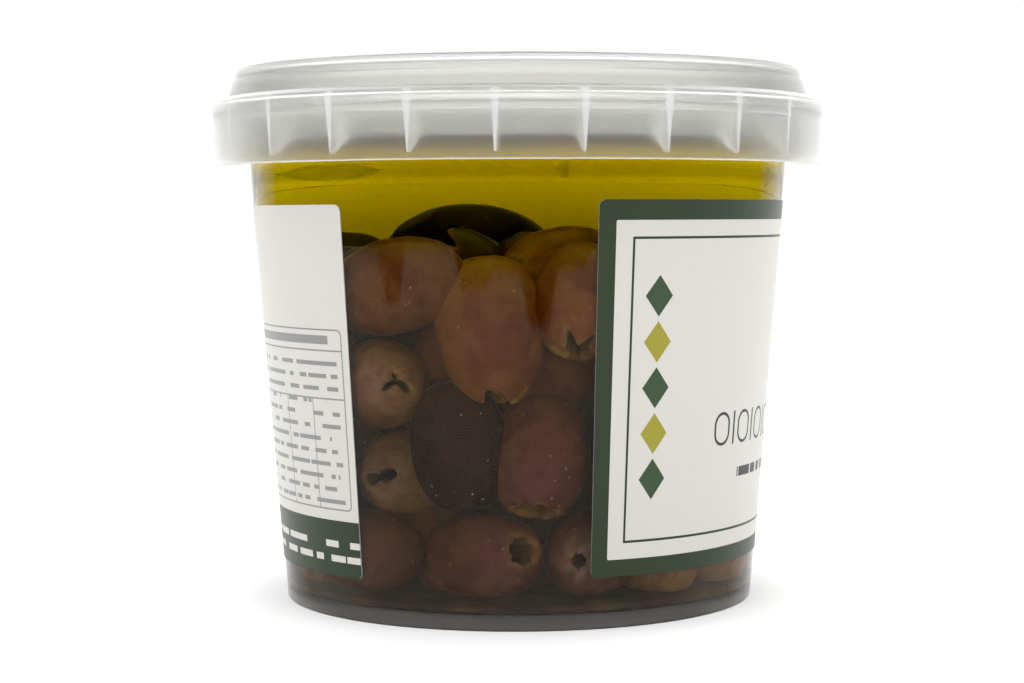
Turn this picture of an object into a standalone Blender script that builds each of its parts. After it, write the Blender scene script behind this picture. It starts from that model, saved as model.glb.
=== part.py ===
"""A shut clear tub of pitted olives, with its snap lid, its security band and two stuck-on labels.

Metres, +Z up. The origin is the centre of the foot, on the surface that the tub stands on, and the
side with the gap between the labels faces -Y. A bearing is an angle round the tub in degrees, from
-Y towards +X.
"""

import math
import random

import bmesh
import bpy
from mathutils import Euler, Matrix, Vector

# Driving dimensions of the tub
FOOT_RADIUS = 0.0454
WALL_FLARE = 0.0785
WALL = 0.0009
FLOOR_TOP = 0.00295
FLOOR = 0.0010
FLOOR_FILLET = 0.0010
FOOT_RING = 0.0014
FOOT_CHAMFER = 0.0005
FLANGE_LOW = 0.0920
FLANGE = 0.0013
RIM_TOP = 0.1005
RIM_ROUND = 0.0003
SEGMENTS = 48

# The catch that the lid snaps over, a ridge on the wall: its height over the flange and its form
CATCH_ABOVE = 0.0010
CATCH_UNDERCUT = 0.0006
CATCH_EDGE = 0.0004
CATCH_RAMP = 0.0009
CATCH_REACH = 0.0016

# Driving dimensions of the security band and its gussets
BAND_LOW = 0.0832
BAND_HIGH = 0.0950
BAND_RADIUS_LOW = 0.05865
BAND_RADIUS_HIGH = 0.0592
BAND_WALL = 0.0012
BAND_ROUND = 0.0004
SHOULDER_RADIUS = 0.0565
SHOULDER_HIGH = 0.0963
SHOULDER_WALL = 0.0007
GUSSETS = 24
GUSSET_BEARING = -3.7
GUSSET_THICK = 0.0012
GUSSET_STEP = 0.0880
GUSSET_POINT = 0.0846
GUSSET_TOE = 0.0026
GUSSET_TIP = 0.0003
GUSSET_BURY = 0.0003

# Driving dimensions of the lid, with its heights measured from the tub's rim
LID_WALL = 0.0009
LID_TOP = 0.0013
PANEL_TOP = -0.0033
PANEL_RADIUS = 0.0492
PANEL_FILLET = 0.0009
RING_IN = 0.05075
RING_OUT = 0.0543
RING_ROUND = 0.0007
RING_FOOT = -0.0015
STEP_OUT = 0.0005
SKIRT_RADIUS = 0.05575
SKIRT_LOW = -0.0065
SKIRT_HOOK = 0.0006
HOOK_HEIGHT = 0.0009

# Driving dimensions of the labels
LABEL_THICK = 0.00025
LABEL_GAP = 0.0003
LABEL_CORNER = 0.0025
LABEL_SPAN = 126.0
CORNER_COLUMNS = (0.0, 0.15, 0.5, 1.0)
FRONT_LABEL_FROM = 16.0
FRONT_LABEL_HEIGHTS = (0.0094, 0.0765)
BACK_LABEL_FROM = -164.0
BACK_LABEL_HEIGHTS = (0.0079, 0.0758)

# Driving dimensions of the olives
OLIVE_LENGTH = 0.0255
OLIVE_WIDTH = 0.0175
SHOWN_SIDES = 10
OTHER_SIDES = 8
OLIVE_RINGS = 6
HEAP_GAP = 0.00045
CORE_INSET = 0.0095
CORE_TOP = 0.0600
CORE_ROUND = 0.0060
CORE_FOOT = 0.0020
SEED = 11

# Olives in the gap between the labels: bearing, height of the centre, lean of the long axis from
# upright towards +bearing, turn of its upper end away from the wall, length, width, depth behind
# the wall
SHOWN_OLIVES = (
    (-5.0, 0.0533, -4.0, 2.0, 0.0272, 0.0194, 0.0),
    (-27.0, 0.0615, 76.0, 0.0, 0.0265, 0.0172, 0.0),
    (-31.5, 0.0437, 84.0, -12.0, 0.0250, 0.0168, 0.0),
    (-29.5, 0.0276, 20.0, 62.0, 0.0235, 0.0148, 0.0008),
    (-12.6, 0.0327, -7.0, 0.0, 0.0245, 0.0170, 0.0),
    (5.6, 0.0308, 8.0, 3.0, 0.0242, 0.0166, 0.0),
    (-7.3, 0.0122, 87.0, 0.0, 0.0238, 0.0166, 0.0),
    (-35.5, 0.0128, 84.0, 0.0, 0.0240, 0.0156, 0.0),
    (14.6, 0.0129, 70.0, -34.0, 0.0240, 0.0156, 0.0),
    (13.6, 0.0588, 12.0, 4.0, 0.0225, 0.0160, 0.0),
    (10.5, 0.0655, 84.0, 0.0, 0.0260, 0.0160, 0.0125),
    (-9.0, 0.0640, 60.0, 10.0, 0.0240, 0.0150, 0.0150),
    (-38.0, 0.0640, 70.0, 0.0, 0.0240, 0.0150, 0.0120),
    (-19.0, 0.0470, 20.0, 0.0, 0.0240, 0.0160, 0.0120),
    (9.0, 0.0440, 25.0, 0.0, 0.0240, 0.0160, 0.0110),
)
SHOWN_FROM = -50.0
SHOWN_TO = 30.0

# Rows of olives along the rest of the wall: height of the centres and their number
WALL_ROWS = ((0.0130, 11), (0.0300, 11), (0.0465, 12), (0.0625, 12))
ROW_JITTER = 2.0
ROW_LIFT = 0.0012
ROW_LEAN = (15.0, 85.0)
ROW_TURN = 10.0
ROW_SCALE = (0.93, 1.05)

# Rings of olives that cap the heap: distance from the axis, height of the centres, number
CAP_RINGS = ((0.0, 0.0672, 1), (0.0195, 0.0650, 6))
CAP_JITTER = 6.0
CAP_TILT = 12.0


def wall_radius(height):
    """Outer radius of the tub's wall at a height."""
    return FOOT_RADIUS + WALL_FLARE * height


def inner_radius(height):
    """Inner radius of the tub's wall at a height."""
    return wall_radius(height) - WALL


def on_bearing(radius, bearing, height):
    """Point at a radius and height, on a bearing in degrees."""
    angle = math.radians(bearing)
    return Vector((radius * math.sin(angle), -radius * math.cos(angle), height))


def clear_scene():
    """Removes every object that the file starts with."""
    for item in list(bpy.data.objects):
        bpy.data.objects.remove(item, do_unlink=True)


def finish(name, colour, roughness, alpha=1.0):
    """Plain plastic, paper or skin: a colour, a roughness and, for clear stuff, an alpha."""
    material = bpy.data.materials.new(name)
    material.use_nodes = True
    shader = material.node_tree.nodes["Principled BSDF"]
    shader.inputs["Base Color"].default_value = (*colour, 1.0)
    shader.inputs["Roughness"].default_value = roughness
    shader.inputs["Metallic"].default_value = 0.0
    shader.inputs["Alpha"].default_value = alpha
    material.diffuse_color = (*colour, alpha)
    return material


def add_piece(name, shape, material, parent, height=0.0):
    """Object from a bmesh, with its material, standing at a height under its parent."""
    mesh = bpy.data.meshes.new(name)
    shape.to_mesh(mesh)
    shape.free()
    piece = bpy.data.objects.new(name, mesh)
    bpy.context.scene.collection.objects.link(piece)
    if material is not None:
        mesh.materials.append(material)
    piece.location.z = height
    piece.parent = parent
    return piece


def smooth(piece, sharp_degrees):
    """Smooth shading, with edges above an angle kept sharp."""
    piece.data.shade_smooth()
    piece.data.set_sharp_from_angle(angle=math.radians(sharp_degrees))


def turned(section):
    """Solid turned from a section that starts and ends on the axis.

    A facet, not a corner, lies on the bearing of each gusset.
    """
    shape = bmesh.new()
    start = GUSSET_BEARING + 180.0 / SEGMENTS
    verts = [shape.verts.new(on_bearing(radius, start, height)) for radius, height in section]
    edges = [shape.edges.new(pair) for pair in zip(verts, verts[1:])]
    bmesh.ops.spin(
        shape,
        geom=verts + edges,
        axis=(0.0, 0.0, 1.0),
        cent=(0.0, 0.0, 0.0),
        angle=math.tau,
        steps=SEGMENTS,
        use_duplicate=False,
    )
    bmesh.ops.remove_doubles(shape, verts=shape.verts, dist=1e-6)
    bmesh.ops.recalc_face_normals(shape, faces=shape.faces)
    return shape


def thin_wall(path, thickness):
    """Section of a moulding of one thickness, from the line along the middle of its wall.

    Each point moves half the thickness to both sides along the mean of its two sides' normals,
    lengthened at a corner so that the wall keeps its thickness there.
    """
    points = [Vector(point) for point in path]
    runs = [(after - before).normalized() for before, after in zip(points, points[1:])]
    normals = [Vector((-run.y, run.x)) for run in runs]
    upper = []
    lower = []
    for index, point in enumerate(points):
        before = normals[max(index - 1, 0)]
        after = normals[min(index, len(normals) - 1)]
        mean = (before + after).normalized()
        offset = mean * (thickness / 2.0 / mean.dot(after))
        upper.append(point + offset)
        lower.append(point - offset)
    return [tuple(point) for point in upper + lower[::-1]]


def fuse(piece, others):
    """Union of a piece with a collection of others, whose objects are then removed."""
    modifier = piece.modifiers.new("fuse", "BOOLEAN")
    modifier.operation = "UNION"
    modifier.solver = "EXACT"
    modifier.operand_type = "COLLECTION"
    modifier.collection = others
    graph = bpy.context.evaluated_depsgraph_get()
    fused = bpy.data.meshes.new_from_object(piece.evaluated_get(graph), depsgraph=graph)
    piece.modifiers.clear()
    plain = piece.data
    piece.data = fused
    bpy.data.meshes.remove(plain)
    for other in list(others.objects):
        bpy.data.objects.remove(other, do_unlink=True)
    bpy.data.collections.remove(others)


def keep_largest_body(piece):
    """Drops loose scraps and fills sealed hollows: only the body with most faces stays."""
    shape = bmesh.new()
    shape.from_mesh(piece.data)
    unseen = set(shape.faces)
    bodies = []
    while unseen:
        body = [unseen.pop()]
        for face in body:
            for edge in face.edges:
                for other in edge.link_faces:
                    if other in unseen:
                        unseen.discard(other)
                        body.append(other)
        bodies.append(body)
    bodies.sort(key=len)
    loose = [face for body in bodies[:-1] for face in body]
    bmesh.ops.delete(shape, geom=loose, context="FACES")
    shape.to_mesh(piece.data)
    shape.free()


def tub_section():
    """Section of the cup, its rim with the catch, its flange and its band, from floor to floor."""
    trough = FLANGE_LOW + FLANGE
    catch_foot = trough + CATCH_ABOVE
    catch_low = catch_foot + CATCH_UNDERCUT
    catch_high = catch_low + CATCH_EDGE
    catch_radius = wall_radius(catch_low) + CATCH_REACH
    band_low = BAND_RADIUS_LOW - BAND_WALL
    band_high = BAND_RADIUS_HIGH - BAND_WALL
    rim_inner = inner_radius(RIM_TOP)
    rim_outer = wall_radius(RIM_TOP)
    ring_inner = FOOT_RADIUS - FOOT_RING
    underside = FLOOR_TOP - FLOOR
    return [
        (0.0, FLOOR_TOP),
        (inner_radius(FLOOR_TOP) - FLOOR_FILLET, FLOOR_TOP),
        (inner_radius(FLOOR_TOP + FLOOR_FILLET), FLOOR_TOP + FLOOR_FILLET),
        (rim_inner, RIM_TOP - RIM_ROUND),
        (rim_inner + RIM_ROUND / 2.0, RIM_TOP),
        (rim_outer - RIM_ROUND, RIM_TOP),
        (rim_outer, RIM_TOP - RIM_ROUND),
        (wall_radius(catch_high + CATCH_RAMP), catch_high + CATCH_RAMP),
        (catch_radius, catch_high),
        (catch_radius, catch_low),
        (wall_radius(catch_foot), catch_foot),
        (wall_radius(trough), trough),
        (band_high, trough),
        (band_high, BAND_HIGH - BAND_ROUND),
        (band_high - BAND_ROUND, BAND_HIGH + BAND_ROUND / 4.0),
        (SHOULDER_RADIUS, SHOULDER_HIGH - SHOULDER_WALL),
        (SHOULDER_RADIUS, SHOULDER_HIGH),
        (BAND_RADIUS_HIGH - BAND_ROUND, BAND_HIGH + BAND_ROUND),
        (BAND_RADIUS_HIGH, BAND_HIGH),
        (BAND_RADIUS_LOW, BAND_LOW),
        (band_low, BAND_LOW),
        (band_high, FLANGE_LOW),
        (wall_radius(FLANGE_LOW), FLANGE_LOW),
        (wall_radius(FOOT_CHAMFER), FOOT_CHAMFER),
        (FOOT_RADIUS - FOOT_CHAMFER / 4.0, 0.0),
        (ring_inner, 0.0),
        (ring_inner - FOOT_CHAMFER / 2.0, underside - FOOT_CHAMFER),
        (ring_inner - FOOT_CHAMFER, underside),
        (0.0, underside),
    ]


def gusset_shape(bearing):
    """Radial plate that ties the band to the wall, deep under the flange, then down to a point."""
    band_low = BAND_RADIUS_LOW - BAND_WALL
    band_high = BAND_RADIUS_HIGH - BAND_WALL
    outline = [
        (wall_radius(GUSSET_STEP) - GUSSET_BURY, GUSSET_STEP),
        (band_low - GUSSET_TOE, GUSSET_STEP),
        (band_low - GUSSET_TIP, GUSSET_POINT),
        (band_low + GUSSET_BURY, GUSSET_POINT),
        (band_high + GUSSET_BURY, FLANGE_LOW + GUSSET_BURY),
        (wall_radius(FLANGE_LOW) - GUSSET_BURY, FLANGE_LOW + GUSSET_BURY),
    ]
    shape = bmesh.new()
    side = on_bearing(1.0, bearing + 90.0, 0.0) * GUSSET_THICK / 2.0
    faces = []
    for sign in (-1.0, 1.0):
        corners = [on_bearing(radius, bearing, height) + side * sign for radius, height in outline]
        faces.append([shape.verts.new(corner) for corner in corners])
    shape.faces.new(faces[0])
    shape.faces.new(faces[1])
    for index in range(len(outline)):
        after = (index + 1) % len(outline)
        shape.faces.new((faces[0][index], faces[0][after], faces[1][after], faces[1][index]))
    bmesh.ops.recalc_face_normals(shape, faces=shape.faces)
    return shape


def make_tub(material, parent):
    """The cup with its flange and band, and the gussets fused on."""
    tub = add_piece("tub", turned(tub_section()), material, parent)
    gussets = bpy.data.collections.new("gussets")
    for index in range(GUSSETS):
        bearing = GUSSET_BEARING + index * 360.0 / GUSSETS
        gusset = add_piece("gusset", gusset_shape(bearing), None, parent)
        bpy.context.scene.collection.objects.unlink(gusset)
        gussets.objects.link(gusset)
    fuse(tub, gussets)
    smooth(tub, 30.0)
    return tub


def make_lid(material, parent):
    """The lid: a sunk panel, a stacking ring over the tub's rim, and a skirt that snaps on."""
    half = LID_WALL / 2.0
    top = LID_TOP - half
    panel = PANEL_TOP - half
    path = [
        (0.0, panel),
        (PANEL_RADIUS, panel),
        (PANEL_RADIUS + PANEL_FILLET, panel + PANEL_FILLET),
        (RING_IN, top - RING_ROUND),
        (RING_IN + RING_ROUND, top),
        (RING_OUT - RING_ROUND, top),
        (RING_OUT, top - RING_ROUND),
        (RING_OUT, RING_FOOT + STEP_OUT),
        (RING_OUT + STEP_OUT, RING_FOOT),
        (SKIRT_RADIUS, SHOULDER_HIGH - RIM_TOP),
        (SKIRT_RADIUS, SKIRT_LOW + HOOK_HEIGHT),
        (SKIRT_RADIUS - SKIRT_HOOK, SKIRT_LOW),
    ]
    lid = add_piece("lid", turned(thin_wall(path, LID_WALL)), material, parent, RIM_TOP)
    smooth(lid, 30.0)
    return lid


def facet_radius(radius, bearing):
    """Distance from the axis to the tub's flat facets, which cut the corners of a circle."""
    pitch = 360.0 / SEGMENTS
    from_middle = (bearing - GUSSET_BEARING + pitch / 2.0) % pitch - pitch / 2.0
    flat = radius * math.cos(math.radians(pitch / 2.0))
    return flat / math.cos(math.radians(from_middle))


def label_bearings(start):
    """Bearings of a label's columns: its round corners, and the tub's facet edges between."""
    corner = math.degrees(LABEL_CORNER / wall_radius(FLANGE_LOW / 2.0))
    end = start + LABEL_SPAN
    columns = [start + corner * step for step in CORNER_COLUMNS]
    pitch = 360.0 / SEGMENTS
    edge = GUSSET_BEARING + pitch / 2.0
    count = math.ceil((start + corner - edge) / pitch)
    while edge + count * pitch < end - corner:
        columns.append(edge + count * pitch)
        count += 1
    columns += [end - corner * step for step in reversed(CORNER_COLUMNS)]
    return columns, corner


def make_label(name, start, heights, material, parent):
    """A stuck-on label: a thin skin just off the wall, with round corners."""
    low, high = heights
    columns, corner = label_bearings(start)
    shape = bmesh.new()
    loops = []
    for bearing in columns:
        inset = min(bearing - start, start + LABEL_SPAN - bearing, corner) / corner
        drop = LABEL_CORNER * (1.0 - math.sqrt(1.0 - (1.0 - inset) ** 2))
        edges = ((low + drop, 0.0), (high - drop, 0.0), (high - drop, LABEL_THICK), (low + drop, LABEL_THICK))
        loop = []
        for height, depth in edges:
            radius = facet_radius(wall_radius(height), bearing) + LABEL_GAP + depth
            loop.append(shape.verts.new(on_bearing(radius, bearing, height)))
        loops.append(loop)
    for before, after in zip(loops, loops[1:]):
        for index in range(4):
            following = (index + 1) % 4
            shape.faces.new((before[index], before[following], after[following], after[index]))
    shape.faces.new(loops[0])
    shape.faces.new(loops[-1])
    bmesh.ops.recalc_face_normals(shape, faces=shape.faces)
    label = add_piece(name, shape, material, parent)
    smooth(label, 30.0)
    return label


def olive_shape(length, width, matrix, sides):
    """A low-sided olive along its own Z, moved by a matrix."""
    shape = bmesh.new()
    bmesh.ops.create_uvsphere(shape, u_segments=sides, v_segments=OLIVE_RINGS, radius=0.5)
    size = Matrix.Diagonal((width, width, length, 1.0))
    bmesh.ops.transform(shape, matrix=matrix @ size, verts=shape.verts)
    return shape


def half_extent(rotation, length, width, direction):
    """How far an olive reaches from its centre along a unit direction."""
    halves = (width / 2.0, width / 2.0, length / 2.0)
    along = [half * rotation.col[axis].dot(direction) for axis, half in enumerate(halves)]
    return math.hypot(*along)


def wall_olive(bearing, height, lean, turn, length, width, depth, sides=SHOWN_SIDES):
    """An olive that touches the wall, or lies at a depth behind it, clear of the floor."""
    turned_in = Matrix.Rotation(-math.radians(turn), 3, "X")
    leaned = Matrix.Rotation(math.radians(lean), 3, "Y")
    faced = Matrix.Rotation(math.radians(bearing), 3, "Z")
    rotation = faced @ leaned @ turned_in
    outward = on_bearing(1.0, bearing, -WALL_FLARE).normalized()
    up = Vector((0.0, 0.0, 1.0))
    lowest = FLOOR_TOP + HEAP_GAP + half_extent(rotation, length, width, up)
    height = max(height, lowest)
    reach = half_extent(rotation, length, width, outward)
    radius = inner_radius(height) - HEAP_GAP - reach - depth
    place = Matrix.Translation(on_bearing(radius, bearing, height))
    return olive_shape(length, width, place @ rotation.to_4x4(), sides)


def row_olives(rng):
    """Olives in rows along the wall behind the labels and in the gap at the back."""
    span = 360.0 - (SHOWN_TO - SHOWN_FROM)
    shapes = []
    for row, (height, number) in enumerate(WALL_ROWS):
        pitch = span / number
        shift = 0.25 + 0.5 * (row % 2)
        for index in range(number):
            bearing = SHOWN_TO + (index + shift) * pitch + rng.uniform(-ROW_JITTER, ROW_JITTER)
            lean = rng.choice((-1.0, 1.0)) * rng.uniform(*ROW_LEAN)
            turn = rng.uniform(-ROW_TURN, ROW_TURN)
            scale = rng.uniform(*ROW_SCALE)
            centre = height + rng.uniform(-ROW_LIFT, ROW_LIFT)
            length = OLIVE_LENGTH * scale
            width = OLIVE_WIDTH * scale
            shapes.append(wall_olive(bearing, centre, lean, turn, length, width, 0.0, OTHER_SIDES))
    return shapes


def cap_olives(rng):
    """Olives that lie on top of the heap, in rings round its middle."""
    shapes = []
    for radius, height, number in CAP_RINGS:
        for index in range(number):
            bearing = index * 360.0 / number + rng.uniform(-CAP_JITTER, CAP_JITTER)
            place = Matrix.Translation(on_bearing(radius, bearing, height))
            flat = math.radians(90.0 + rng.uniform(-CAP_TILT, CAP_TILT))
            pose = Euler((flat, 0.0, rng.uniform(0.0, math.pi))).to_matrix().to_4x4()
            shapes.append(olive_shape(OLIVE_LENGTH, OLIVE_WIDTH, place @ pose, OTHER_SIDES))
    return shapes


def heap_olives():
    """Shapes of all the olives on the heap's outside."""
    rng = random.Random(SEED)
    shown = [wall_olive(*row) for row in SHOWN_OLIVES]
    return shown + row_olives(rng) + cap_olives(rng)


def heap_core():
    """Turned core that the olives are fused to."""
    low = FLOOR_TOP + HEAP_GAP
    top_radius = inner_radius(CORE_TOP) - CORE_INSET
    low_radius = inner_radius(low) - CORE_INSET
    return turned([
        (0.0, CORE_TOP),
        (top_radius - CORE_ROUND, CORE_TOP - CORE_ROUND / 3.0),
        (top_radius, CORE_TOP - CORE_ROUND),
        (low_radius, low + CORE_FOOT),
        (low_radius - CORE_FOOT, low),
        (0.0, low),
    ])


def make_olives(material, parent):
    """The heap: a core with the olives of its outside fused on."""
    heap = add_piece("olives", heap_core(), material, parent)
    outside = bpy.data.collections.new("outside")
    for shape in heap_olives():
        olive = add_piece("olive", shape, None, parent)
        bpy.context.scene.collection.objects.unlink(olive)
        outside.objects.link(olive)
    fuse(heap, outside)
    keep_largest_body(heap)
    smooth(heap, 40.0)
    return heap


def main():
    """Builds every piece under one empty at the foot's centre."""
    clear_scene()
    root = bpy.data.objects.new("tub_of_olives", None)
    bpy.context.scene.collection.objects.link(root)
    clear = finish("clear plastic", (0.86, 0.86, 0.82), 0.12, alpha=0.35)
    hazy = finish("hazy plastic", (0.80, 0.80, 0.77), 0.45, alpha=0.75)
    front_paper = finish("front label", (0.10, 0.16, 0.10), 0.35)
    back_paper = finish("back label", (0.76, 0.75, 0.74), 0.40)
    skin = finish("olive skin", (0.085, 0.035, 0.022), 0.35)
    tub = make_tub(clear, root)
    make_lid(hazy, tub)
    make_label("label_front", FRONT_LABEL_FROM, FRONT_LABEL_HEIGHTS, front_paper, tub)
    make_label("label_back", BACK_LABEL_FROM, BACK_LABEL_HEIGHTS, back_paper, tub)
    make_olives(skin, tub)


main()
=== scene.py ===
"""Looks of a shut clear tub of pitted olives in oil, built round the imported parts.

Metres, +Z up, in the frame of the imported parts: the origin is the centre of the tub's foot, and the
gap between the two labels faces -Y, towards the camera. A bearing is an angle round the tub in
degrees, from -Y towards +X.
"""

import logging
import math
from collections.abc import Callable, Sequence
from dataclasses import dataclass
from enum import Enum

import bpy
import numpy as np
from mathutils import Matrix

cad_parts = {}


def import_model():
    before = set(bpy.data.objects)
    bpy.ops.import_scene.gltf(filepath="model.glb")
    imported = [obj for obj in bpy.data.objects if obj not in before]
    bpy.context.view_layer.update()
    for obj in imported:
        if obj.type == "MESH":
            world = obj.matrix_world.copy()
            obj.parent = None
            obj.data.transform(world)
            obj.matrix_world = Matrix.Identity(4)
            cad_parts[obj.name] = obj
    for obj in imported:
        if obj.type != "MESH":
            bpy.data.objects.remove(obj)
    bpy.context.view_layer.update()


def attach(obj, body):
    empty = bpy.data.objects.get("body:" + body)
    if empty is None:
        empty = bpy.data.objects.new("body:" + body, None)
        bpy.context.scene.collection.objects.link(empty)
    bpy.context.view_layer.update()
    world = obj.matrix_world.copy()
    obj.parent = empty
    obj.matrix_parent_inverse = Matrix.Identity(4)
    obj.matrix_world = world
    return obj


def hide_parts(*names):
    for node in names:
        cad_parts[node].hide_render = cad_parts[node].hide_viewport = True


LOG = logging.getLogger("tub_of_olives")
BODY = "root"
TURN = 360.0
MILLIMETRES = 1000.0
SHARP_EDGE = 40.0
PLASTIC_IOR = 1.49
OIL_IOR = 1.47
QUIET_GLOSS = 0.12

# Shortest and longest wave of a noise, as shares of its mean
WAVE_LENGTHS = (0.6, 1.5)

# A rounded corner: straight pieces, most of a side that it takes, and reach of its support points
CURVE_STEPS = 6
CURVE_LIMIT = 0.4
SUPPORT_REACH = 1.2

# Waves round an olive's mouth as (number, depth), the angle of its longest arm, and how much an
# egg form shrinks the whole
RAGGED_WAVES = ((7.0, 0.06), (11.0, 0.04))
LONGEST_ARM = 0.6
EGG_SHRINK = 0.3

# Colour sockets of Blender's Mix node
COLOUR_INPUTS = (6, 7)
COLOUR_OUTPUT = 2

Colour = tuple[float, float, float]
Span = tuple[float, float]

CLEAR: Colour = (1.0, 1.0, 1.0)
BLACK: Colour = (0.0, 0.0, 0.0)


def on_bearing(radius: np.ndarray, bearing: np.ndarray, height: np.ndarray) -> np.ndarray:
    """Points at radii and heights on bearings round the tub.

    A point is (radius sin bearing, -radius cos bearing, height).

    Args:
        radius: Distances from the tub's axis.
        bearing: Bearings in degrees.
        height: Heights over the foot.

    Returns:
        The points, with x, y and z along a new last axis.
    """
    radius, angle, height = np.broadcast_arrays(radius, np.radians(bearing), height)
    return np.stack([radius * np.sin(angle), -radius * np.cos(angle), height], axis=-1)


def smooth_step(values: np.ndarray, low: float, high: float) -> np.ndarray:
    """Rises from 0 at low to 1 at high along the cubic 3t^2 - 2t^3."""
    share = np.clip((values - low) / (high - low), 0.0, 1.0)
    return share * share * (3.0 - 2.0 * share)


def bell(values: np.ndarray, width: float) -> np.ndarray:
    """Bell curve of height 1 about 0, exp(-(values / width)^2)."""
    return np.exp(-((values / width) ** 2))


def wave_noise(
    points: np.ndarray, rng: np.random.Generator, wavelength: float, count: int
) -> np.ndarray:
    """Smooth random field: a sum of plane waves in random directions.

    Each wave is cos(2 pi (points . direction) / length + phase), with lengths from somewhat under
    to half as much over the given one. The sum is scaled so that most values lie between -1 and 1.

    Args:
        points: Points, with x, y and z along the last axis.
        rng: Source of the directions, lengths and phases.
        wavelength: Mean length of the waves.
        count: Number of waves.

    Returns:
        One value for each point.
    """
    direction = rng.normal(size=(count, 3))
    direction /= np.linalg.norm(direction, axis=1, keepdims=True)
    lengths = wavelength * rng.uniform(*WAVE_LENGTHS, count)
    phase = rng.uniform(0.0, math.tau, count)
    waves = np.cos(points @ (direction * (math.tau / lengths)[:, None]).T + phase)
    return waves.sum(axis=-1) * math.sqrt(2.0 / count) / 2.0


@dataclass
class Shape:
    """One closed mesh held as whole arrays, with optional values at its points.

    Attributes:
        points: Places of the points, one row each.
        quads: Four-sided faces, as rows of point numbers.
        triangles: Three-sided faces, as rows of point numbers.
        colours: Colour at each point, or None.
        prints: Place on a flat print at each point, or None.
        slots: Material slot of each face, quads first, or None.
    """

    points: np.ndarray
    quads: np.ndarray
    triangles: np.ndarray
    colours: np.ndarray | None = None
    prints: np.ndarray | None = None
    slots: np.ndarray | None = None

    def volume(self) -> float:
        """Signed volume: the sum of the tetrahedra between the origin and each triangle."""
        fans = np.concatenate([self.quads[:, [0, 1, 2]], self.quads[:, [0, 2, 3]], self.triangles])
        first, second, third = (self.points[fans[:, corner]] for corner in range(3))
        return float(np.einsum("ij,ij->i", first, np.cross(second, third)).sum() / 6.0)

    def faced_out(self) -> "Shape":
        """The shape with its faces turned outwards, by the sign of its volume."""
        if self.volume() < 0.0:
            self.quads = self.quads[:, ::-1]
            self.triangles = self.triangles[:, ::-1]
        return self

    def mesh(self, name: str) -> bpy.types.Mesh:
        """Blender mesh of the shape.

        Args:
            name: Name of the mesh.

        Returns:
            The mesh, smooth shaded.
        """
        mesh = bpy.data.meshes.new(name)
        corners = np.concatenate([self.quads.ravel(), self.triangles.ravel()]).astype(np.int32)
        sizes = np.concatenate([np.full(len(self.quads), 4), np.full(len(self.triangles), 3)])
        starts = np.concatenate([[0], np.cumsum(sizes)[:-1]]).astype(np.int32)
        mesh.vertices.add(len(self.points))
        mesh.vertices.foreach_set("co", self.points.astype(np.float32).ravel())
        mesh.loops.add(corners.size)
        mesh.loops.foreach_set("vertex_index", corners)
        mesh.polygons.add(sizes.size)
        mesh.polygons.foreach_set("loop_start", starts)
        if self.slots is not None:
            mesh.polygons.foreach_set("material_index", self.slots.astype(np.int32))
        mesh.update(calc_edges=True)
        if self.colours is not None:
            colours = np.concatenate([self.colours, np.ones((len(self.colours), 1))], axis=1)
            layer = mesh.attributes.new("skin", "FLOAT_COLOR", "POINT")
            layer.data.foreach_set("color", colours.astype(np.float32).ravel())
        if self.prints is not None:
            layer = mesh.uv_layers.new(name="print")
            layer.data.foreach_set("uv", self.prints[corners].astype(np.float32).ravel())
        mesh.shade_smooth()
        mesh.validate()
        return mesh


def joined(shapes: Sequence[Shape]) -> Shape:
    """Several shapes as one, each still closed by itself.

    Args:
        shapes: Shapes with the same kinds of values at their points.

    Returns:
        One shape with all their points and faces.
    """
    shift = np.cumsum([0] + [len(shape.points) for shape in shapes[:-1]])
    quads = np.concatenate([shape.quads + start for shape, start in zip(shapes, shift)])
    triangles = np.concatenate([shape.triangles + start for shape, start in zip(shapes, shift)])
    points = np.concatenate([shape.points for shape in shapes])
    if shapes[0].colours is None:
        return Shape(points, quads, triangles)
    return Shape(points, quads, triangles, np.concatenate([shape.colours for shape in shapes]))


def ring_faces(rows: int, columns: int) -> np.ndarray:
    """Quads of a grid whose last column joins its first.

    Args:
        rows: Number of the grid's rows.
        columns: Number of its columns.

    Returns:
        The quads, as rows of point numbers.
    """
    row, column = np.meshgrid(np.arange(rows - 1), np.arange(columns), indexing="ij")
    after = (column + 1) % columns
    corners = [row * columns + column, row * columns + after]
    corners += [(row + 1) * columns + after, (row + 1) * columns + column]
    return np.stack(corners, axis=-1).reshape(-1, 4)


def capped_tube(grid: np.ndarray, first: np.ndarray, last: np.ndarray) -> Shape:
    """Closed shape of a tube of rings, shut by a fan of triangles at each end.

    Args:
        grid: Points of the rings, as rings by columns by 3.
        first: Point that closes the first ring.
        last: Point that closes the last ring.

    Returns:
        The shape, with its faces pointing out.
    """
    rings, columns, _ = grid.shape
    points = np.concatenate([grid.reshape(-1, 3), first[None], last[None]])
    low = rings * columns
    column = np.arange(columns)
    after = (column + 1) % columns
    start = np.stack([np.full(columns, low), after, column], axis=1)
    base = (rings - 1) * columns
    end = np.stack([np.full(columns, low + 1), base + column, base + after], axis=1)
    return Shape(points, ring_faces(rings, columns), np.concatenate([start, end])).faced_out()


def lathe(section: np.ndarray, segments: int) -> Shape:
    """Solid turned from a section that starts and ends on the axis.

    A point of the section at radius r and height z becomes a ring of points at
    (r sin bearing, -r cos bearing, z).

    Args:
        section: Radii and heights, from the axis back to the axis.
        segments: Number of columns round the axis.

    Returns:
        The closed shape.
    """
    bearings = np.arange(segments) * (TURN / segments)
    grid = on_bearing(section[1:-1, 0][:, None], bearings[None, :], section[1:-1, 1][:, None])
    first = np.array([0.0, 0.0, section[0, 1]])
    last = np.array([0.0, 0.0, section[-1, 1]])
    return capped_tube(grid, first, last)


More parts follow.
